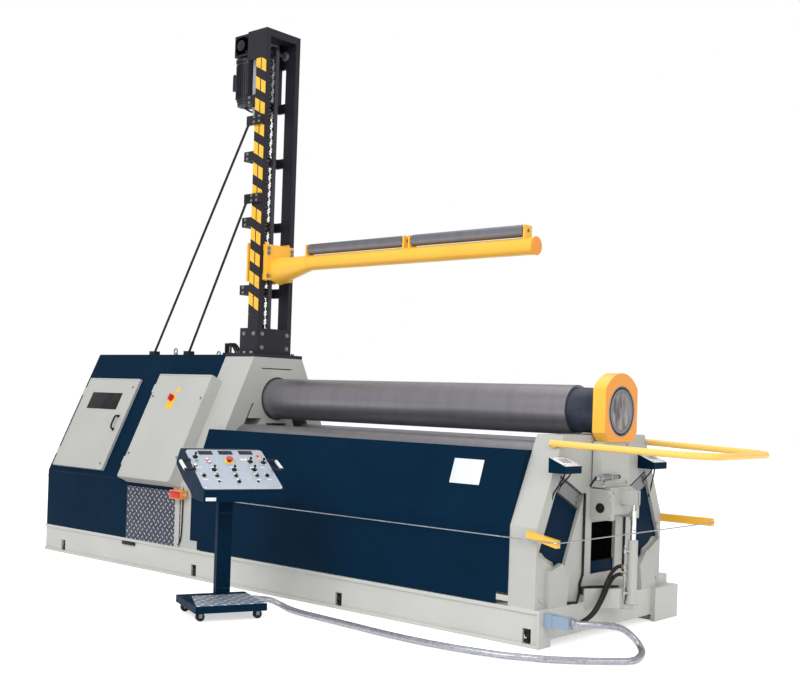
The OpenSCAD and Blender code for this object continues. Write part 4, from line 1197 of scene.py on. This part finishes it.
def dress_posts(across):
    """Back plate, bolts and the bearings of the sprockets' shaft."""
    # light plate that closes the upper rear of the posts
    plate = block((MAST_X0 - 0.0995, -0.150, MAST_TOP - 0.700), (MAST_X0 - 0.0970, 0.150, MAST_TOP - 0.020),
                  0.001)
    piece("mast_back", [plate], "machine", "light_grey")
    # foot plate bolts
    heads = bolts([(x, side * (MAST_HALF + 0.045), DRIVE_TOP + 0.030) for side in (-1, 1)
                   for x in (MAST_X0 + 0.02, MAST_X1 - 0.02)], Z_AXIS, 0.030, 0.018)
    heads += bolts([(MAST_X1, side * 0.150, MAST_Z0 - z) for side in (-1, 1) for z in (0.050, 0.170)],
                   X_AXIS, across)
    heads += bolts([(x, -MAST_HALF, MAST_Z0 - 0.050) for x in (MAST_X0 - 0.04, MAST_X1 - 0.04)],
                   (0, -1, 0), across)
    piece("mast_foot_bolts", heads, "machine", "dull_steel")
    levels = [MAST_Z0 + share * (MAST_TOP - MAST_Z0) + 0.042 + dz
              for share in (0.112, 0.341, 0.564, 0.755) for dz in (-0.022, 0.022)]
    heads = []
    for side in (-1, 1):
        heads += bolts([(MAST_X0 - 0.075, side * MAST_HALF, z) for z in levels], (0, side, 0), 0.020, 0.010)
    piece("tie_bolts", heads, "machine", "dull_steel")
    # head: bearings of the sprockets' shaft
    rims = [rod((MAST_X0 - 0.001, side * 0.133, SPROCKET_Z), (MAST_X0 - 0.001, side * 0.154, SPROCKET_Z),
                0.040, 32, 0.003) for side in (-1, 1)]
    piece("sprocket_bearings", rims, "machine", "dull_steel")


def dress_mast_drive():
    """The gearbox's cover and the motor's fins, grille, bolts, box and cable."""
    # gearbox's bolted cover with its round cap
    lo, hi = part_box("mast_gearbox")
    y, top = lo.y, hi.z
    cover = [block((lo.x + 0.015, y, top - 0.175), (hi.x - 0.015, y + 0.006, top - 0.015), 0.003)]
    cover += bolts([(x, y, z) for x in (lo.x + 0.030, hi.x - 0.030) for z in (top - 0.160, top - 0.030)],
                   (0, -1, 0), 0.016, 0.010)
    cover.append(rod((lo.x + 0.095, y + 0.004, top - 0.095), (lo.x + 0.095, y - 0.012, top - 0.095),
                     0.048, 40, 0.003))
    piece("gearbox_cover", cover, "machine", "mast")
    # motor: fins, fan grille, flange bolts, terminal box and its cable
    lo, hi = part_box("mast_motor")
    cx, cy = hi.x - 0.110, -0.090
    z0, z1 = lo.z, hi.z
    fin = block((0.094, -0.0022, z0 + 0.060), (0.106, 0.0022, z1 - 0.050), 0.0008)
    turns = [Matrix.Rotation(math.radians(a), 4, "Z") for a in range(0, 360, 12) if not 150 < a < 210]
    piece("motor_fins", copies(fin, [Matrix.Translation((cx, cy, 0)) @ turn for turn in turns]),
          "machine", "mast")
    grille = [ring((cx, cy, z0 + 0.041), Z_AXIS, 0.088, 0.004, 48)]
    grille += [ring((cx, cy, z0 + 0.001), Z_AXIS, 0.022 + 0.016 * k, 0.0022, 40, 6) for k in range(4)]
    grille.append(rod((cx, cy, z0), (cx, cy, z0 + 0.004), 0.012, 20))
    piece("fan_grille", grille, "machine", "black")
    heads = bolts([(cx + 0.100 * math.cos(a), cy + 0.100 * math.sin(a), z1 - 0.024)
                   for a in [math.radians(45 + 90 * k) for k in range(4)]], (0, 0, -1), 0.016, 0.012)
    piece("flange_bolts", heads, "machine", "dull_steel")
    x = lo.x + 0.030
    box = [block((lo.x, cy - 0.050, z1 - 0.250), (lo.x + 0.006, cy + 0.050, z1 - 0.105), 0.003),
           rod((x, cy, z1 - 0.262), (x, cy, z1 - 0.290), 0.012, 6, 0.001)]
    cable = tube([(x, cy, z1 - 0.288), (x, cy, z1 - 0.330), (x + 0.030, cy + 0.030, z1 - 0.420),
                  (-1.848, cy + 0.040, z1 - 0.470), (-1.846, cy + 0.060, z1 - 0.60),
                  (-1.846, cy + 0.060, 2.9), (-1.846, cy + 0.060, 2.20)], 0.008)
    piece("motor_box", box, "machine", "mast")
    piece("motor_cable", [cable], "machine", "rubber")


def dress_stays():
    """Hose bracket beside the mast and the stay rods' clamp bolts."""
    # hose bracket on the cabinet beside the mast
    z = DRIVE_TOP + 0.018
    bracket = [block((-2.010, -0.230, z), (-1.905, -0.165, z + 0.020)),
               block((-2.000, -0.215, z + 0.018), (-1.985, -0.180, z + 0.105))]
    for x in (-1.995, -1.965, -1.935):
        bracket.append(tube([(x, -0.200, z + 0.018), (x, -0.200, z + 0.060), (x + 0.004, -0.200, z + 0.095),
                             (x + 0.040, -0.190, z + 0.105), (x + 0.070, -0.180, z + 0.080),
                             (x + 0.085, -0.170, z + 0.040), (x + 0.090, -0.160, z + 0.014)], 0.009))
    piece("hose_bracket", bracket, "machine", "rubber")
    # clamp bolts at the stay rods' upper ends
    heads = []
    for share in (0.698, 0.434):
        z = MAST_Z0 + share * (MAST_TOP - MAST_Z0)
        heads += bolts([(x, -MAST_HALF - 0.030, z + dz) for x in (MAST_X0 + 0.03, MAST_X1 - 0.03)
                        for dz in (-0.022, 0.022)], (0, -1, 0), 0.018, 0.010)
    piece("clamp_bolts", heads, "machine", "dull_steel")


class BENDING_OT_mast(bpy.types.Operator):
    """Add chain links, motor fins, covers and bolts to the mast"""

    bl_idname = "bending.mast"
    bl_label = "Mast parts"

    def execute(self, context):
        dress_chain()
        dress_posts(context.scene.bending_sizes.bolt_across)
        dress_mast_drive()
        dress_stays()
        return {"FINISHED"}


class BENDING_OT_support_arm(bpy.types.Operator):
    """Add bolts, roller ends, welds and the end disc to the support arm"""

    bl_idname = "bending.support_arm"
    bl_label = "Support arm parts"

    def execute(self, context):
        lo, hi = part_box("carriage")
        arm_z, plate_x = lo.z + 0.145, hi.x
        tip = high("support_arm").x
        disc = rod((tip - 0.006, 0, arm_z), (tip + 0.002, 0, arm_z), ARM_TUBE_R + 0.005, 48, 0.002)
        piece("arm_disc", [disc], "support_lift", "orange")
        heads = bolts([(plate_x, y, z) for y in (-0.140, 0.140) for z in (lo.z + 0.040, hi.z - 0.060)],
                      X_AXIS, 0.026)
        heads += bolts([(plate_x, y, hi.z - 0.100) for y in (-0.140, 0.140)], X_AXIS, 0.026)
        piece("carriage_bolts", heads, "support_lift", "dull_steel")
        lo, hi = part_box("support_roller_inner")
        roller_z = (lo.z + hi.z) / 2
        spans = [(low(node).x, high(node).x) for node in ("support_roller_inner", "support_roller_outer")]
        collars = [ring((x, 0, roller_z), X_AXIS, 0.0205, 0.004, 28)
                   for x0, x1 in spans for x in (x0 + 0.010, x1 - 0.010)]
        piece("roller_collars", collars, "support_lift", "dull_steel")
        for name, body, (x0, x1) in (("inner_ends", "inner_roller", spans[0]),
                                     ("outer_ends", "outer_roller", spans[1])):
            ends = [ring((x, 0, roller_z), X_AXIS, 0.0435, 0.0022, 48) for x in (x0 + 0.0265, x1 - 0.0265)]
            piece(name, ends, body, "dull_steel")
        # weld beads where the brackets meet the tube
        z = arm_z + 0.040
        beads = [rod((x - 0.002, y, z), (x + 0.018, y, z), 0.004, 10)
                 for x0, x1 in spans for x in (x0, x1 - 0.016) for y in (-0.047, 0.047)]
        piece("bracket_welds", beads, "support_lift", "yellow")
        seam = ring((plate_x + 0.376, 0, arm_z), X_AXIS, ARM_TUBE_R + 0.001, 0.003, 48)
        piece("arm_seam", [seam], "support_lift", "yellow")
        return {"FINISHED"}


def dress_panel(place, knob_r):
    """The panel's plate with all its controls, joined by finish."""
    corner, points = 0.030, []
    for cu, cv, a0 in ((0.272, 0.513, 0), (-0.232, 0.513, 90), (-0.232, 0.033, 180), (0.272, 0.033, 270)):
        for k in range(7):
            a = math.radians(a0 + 15 * k)
            points.append((cu + corner * math.cos(a), cv + corner * math.sin(a)))
    piece("panel_plate", [outline_plate(points, 0.005, 0.0015, place)], "machine", "panel")
    top = 0.005
    out = {}

    def put(finish, *parts):
        out.setdefault(finish, []).extend(parts)

    def disc(u, v, radius, height, finish, foot=top, sides=28, edge=0.0012):
        put(finish, rod((u, v, foot - 0.0005), (u, v, foot + height), radius, sides, edge, matrix=place))

    def slab(finish, u, v, half_u, half_v, foot, height, edge):
        put(finish, block((u - half_u, v - half_v, top + foot), (u + half_u, v + half_v, top + height),
                          edge, matrix=place))

    # three displays, six levers, six knobs, ten buttons and the stop button on its yellow disc
    for u, v in ((-0.127, 0.494), (0.020, 0.497), (0.170, 0.499)):
        slab("black", u, v, 0.050, 0.024, -0.001, 0.005, 0.003)
        slab("display", u, v, 0.043, 0.018, 0.004, 0.0055, 0.0005)
    for u, v in ((-0.126, 0.251), (0.018, 0.251), (0.164, 0.252), (-0.216, 0.429), (0.260, 0.350),
                 (0.167, 0.363)):
        disc(u, v, 0.024, 0.003, "chrome", sides=36)
        disc(u, v, 0.019, 0.010, "black", sides=32)
        boot = rod((u, v, top + 0.009), (u, v, top + 0.020), 0.013, 24, matrix=place, end_radius=0.006)
        stick = rod((u, v, top + 0.018), (u, v, top + 0.032), 0.0045, 16, matrix=place)
        put("black", boot, stick, ball((u, v, top + 0.035), 0.0095, 1.1, place))
    for u, v in ((-0.218, 0.170), (-0.126, 0.170), (0.009, 0.170), (0.161, 0.170), (0.234, 0.170),
                 (0.008, 0.090)):
        disc(u, v, knob_r + 0.003, 0.003, "chrome", sides=36)
        disc(u, v, knob_r, 0.008, "black", sides=32)
        angle = math.radians(37 * (u * 20 % 3 - 1))
        turn = place @ Matrix.Translation((u, v, 0)) @ Matrix.Rotation(angle, 4, "Z")
        wing = block((-0.0055, -0.014, top + 0.007), (0.0055, 0.014, top + 0.021), 0.003, matrix=turn)
        mark = block((-0.001, 0.004, top + 0.0205), (0.001, 0.013, top + 0.0217), 0, matrix=turn)
        put("black", wing)
        put("white", mark)
    for u, v, rim, cap in ((-0.133, 0.361, "red", "white"), (-0.140, 0.400, "red", "white"),
                           (-0.244, 0.319, "black", "white"), (0.138, 0.391, "chrome", "white"),
                           (0.110, 0.391, "chrome", "white"), (-0.133, 0.091, "white", "black"),
                           (0.144, 0.089, "white", "black"), (0.245, 0.405, "chrome", "signal_yellow"),
                           (0.245, 0.440, "chrome", "red"), (-0.218, 0.372, "chrome", "green")):
        disc(u, v, 0.0145, 0.004, rim)
        disc(u, v, 0.0105, 0.010, cap)
    u, v = 0.016, 0.376
    disc(u, v, 0.036, 0.002, "signal_yellow", sides=40)
    disc(u, v, 0.014, 0.018, "black")
    disc(u, v, 0.024, 0.014, "red", foot=top + 0.017, sides=40, edge=0.004)
    # blank label strips and corner screws
    for v in (0.292, 0.205, 0.128):
        for u in (-0.218, -0.126, 0.014, 0.162, 0.238):
            slab("white", u, v, 0.016, 0.0045, -0.0003, 0.0007, 0.0002)
    for u, v in ((-0.245, 0.025), (0.285, 0.025), (-0.245, 0.522), (0.285, 0.522)):
        disc(u, v, 0.006, 0.002, "chrome", sides=16, edge=0.0006)
    for finish, parts in out.items():
        piece("controls_" + finish, parts, "machine", finish)


def dress_console_front(place, base):
    """Strips and the bare plate round the panel."""
    # dark edge strips along the panel, a bare plate on the front and two strips below the panel
    strips = [block((-0.263, -0.002, -0.004), (0.303, 0.004, 0.004), 0.0015, matrix=place),
              block((-0.263, 0.542, -0.006), (0.303, 0.546, 0.004), 0.0015, matrix=place)]
    piece("panel_edges", strips, "machine", "black")
    front = base @ Matrix.Translation((0, -0.120, 0.730))
    plate = block((-0.248, -0.0025, 0.095), (-0.176, 0.001, 0.125), 0.0006, matrix=front)
    piece("front_plate", [plate], "machine", "white_lid")
    bezel = [block((-0.250, -0.003, z), (0.290, 0.001, z + 0.007), 0.001, matrix=front)
             for z in (0.095, 0.163)]
    piece("lower_bezel", bezel, "machine", "navy")


def dress_handles(base):
    """Bent black bars on both sides, with light grips that are a painted highlight of the bars."""
    bars, grips = [], []
    for x, way in ((-0.263, -1), (0.303, 1)):
        reach = x + way * 0.066
        a, b = Vector((x, 0.103, 1.030)), Vector((x, 0.227, 1.077))
        af, bf = Vector((reach, 0.085, 1.023)), Vector((reach, 0.245, 1.084))
        mid_a, mid_b = af.lerp(bf, 0.12), af.lerp(bf, 0.88)
        for p, pf, mid in ((a, af, mid_a), (b, bf, mid_b)):
            start = p - Vector((way * 0.004, 0, 0))
            bars.append(tube([start, p.lerp(pf, 0.7), pf, mid], 0.009, matrix=base))
        grips.append(rod(mid_a, mid_b, 0.0125, 28, 0.003, matrix=base))
        for p in (a, b):
            bars.append(rod(p, p + Vector((way * 0.006, 0, 0)), 0.020, 24, 0.001, matrix=base))
    piece("handle_bars", bars, "machine", "black")
    piece("handle_highlight_grips", grips, "machine", "grip")


def dress_console_foot(base):
    """Tread plate, casters' forks and the column's seams."""
    # foot: tread plate let into its top, and caster forks
    x0, x1, y1 = -FOOT_W / 2, FOOT_W / 2 - 0.004, FOOT_D - 0.100
    tread = outline_plate([(x0 + 0.005, 0.005), (x1, 0.005), (x1, y1), (x0 + 0.085, y1)], 0.004, 0.001,
                          base @ Matrix.Translation((0, 0, FOOT_H - 0.001)))
    piece("foot_tread", [tread], "machine", "tread_foot")
    forks, hubs = [], []
    for x in (-FOOT_W / 2 + 0.050, FOOT_W / 2 - 0.050):
        for y in (0.060, FOOT_D - 0.060):
            for side in (-1, 1):
                mid = y + side * 0.0165
                forks.append(block((x - 0.012, mid - 0.002, 0.024), (x + 0.012, mid + 0.002, 0.058), 0.001,
                                   matrix=base))
                hubs.append(rod((x, y + side * 0.0185, 0.030), (x, y + side * 0.0225, 0.030), 0.007, 6,
                                0.0008, matrix=base))
            forks.append(block((x - 0.024, y - 0.024, 0.055), (x + 0.024, y + 0.024, 0.060), 0.001,
                               matrix=base))
    piece("caster_forks", forks + hubs, "machine", "dull_steel")
    # seams across the column's back
    seams = [block((0.014, FOOT_D - 0.0712, z), (0.123, FOOT_D - 0.0698, z + 0.004), 0, matrix=base)
             for z in (0.150, 0.690)]
    piece("column_seams", seams, "machine", "black")


class BENDING_OT_console(bpy.types.Operator):
    """Add the control panel, its controls and the handles to the console"""

    bl_idname = "bending.console"
    bl_label = "Console parts"

    def execute(self, context):
        place, base = panel_frame(), console_frame()
        dress_panel(place, context.scene.bending_sizes.knob_d / 2)
        dress_console_front(place, base)
        dress_handles(base)
        dress_console_foot(base)
        return {"FINISHED"}


class BENDING_PT_side(bpy.types.Panel):
    """Lists the steps that dress the machine"""

    bl_idname = "BENDING_PT_side"
    bl_label = "Bending Machine"
    bl_space_type = "VIEW_3D"
    bl_region_type = "UI"
    bl_category = "Bending Machine"

    def draw(self, context):
        layout, scene = self.layout, context.scene
        for group in (scene.bending_paints, scene.bending_sizes, scene.bending_light):
            box = layout.box()
            for key in group.__annotations__:
                box.prop(group, key)
        for operator in STEPS:
            layout.operator(operator.bl_idname)


STEPS = (BENDING_OT_finishes, BENDING_OT_base, BENDING_OT_cabinet, BENDING_OT_covers, BENDING_OT_rolls,
         BENDING_OT_end_housing, BENDING_OT_drop_end, BENDING_OT_hoses, BENDING_OT_rail, BENDING_OT_mast,
         BENDING_OT_support_arm, BENDING_OT_console, BENDING_OT_conduit, BENDING_OT_stage)
GROUPS = {"bending_paints": BendingPaints, "bending_sizes": BendingSizes, "bending_light": BendingLight}


def register():
    """Registers the settings, the steps and the panel."""
    for name, group in GROUPS.items():
        bpy.utils.register_class(group)
        setattr(bpy.types.Scene, name, bpy.props.PointerProperty(type=group))
    for item in STEPS + (BENDING_PT_side,):
        bpy.utils.register_class(item)


def unregister():
    """Takes everything back off."""
    for item in reversed(STEPS + (BENDING_PT_side,)):
        bpy.utils.unregister_class(item)
    for name, group in GROUPS.items():
        delattr(bpy.types.Scene, name)
        bpy.utils.unregister_class(group)


def main():
    """Dresses the machine."""
    register()
    bpy.ops.bending.finishes()
    bpy.ops.bending.base()
    bpy.ops.bending.cabinet()
    bpy.ops.bending.covers()
    bpy.ops.bending.rolls()
    bpy.ops.bending.end_housing()
    bpy.ops.bending.drop_end()
    bpy.ops.bending.hoses()
    bpy.ops.bending.rail()
    bpy.ops.bending.mast()
    bpy.ops.bending.support_arm()
    bpy.ops.bending.console()
    bpy.ops.bending.conduit()
    bpy.ops.bending.stage()


if __name__ == "__main__":
    main()
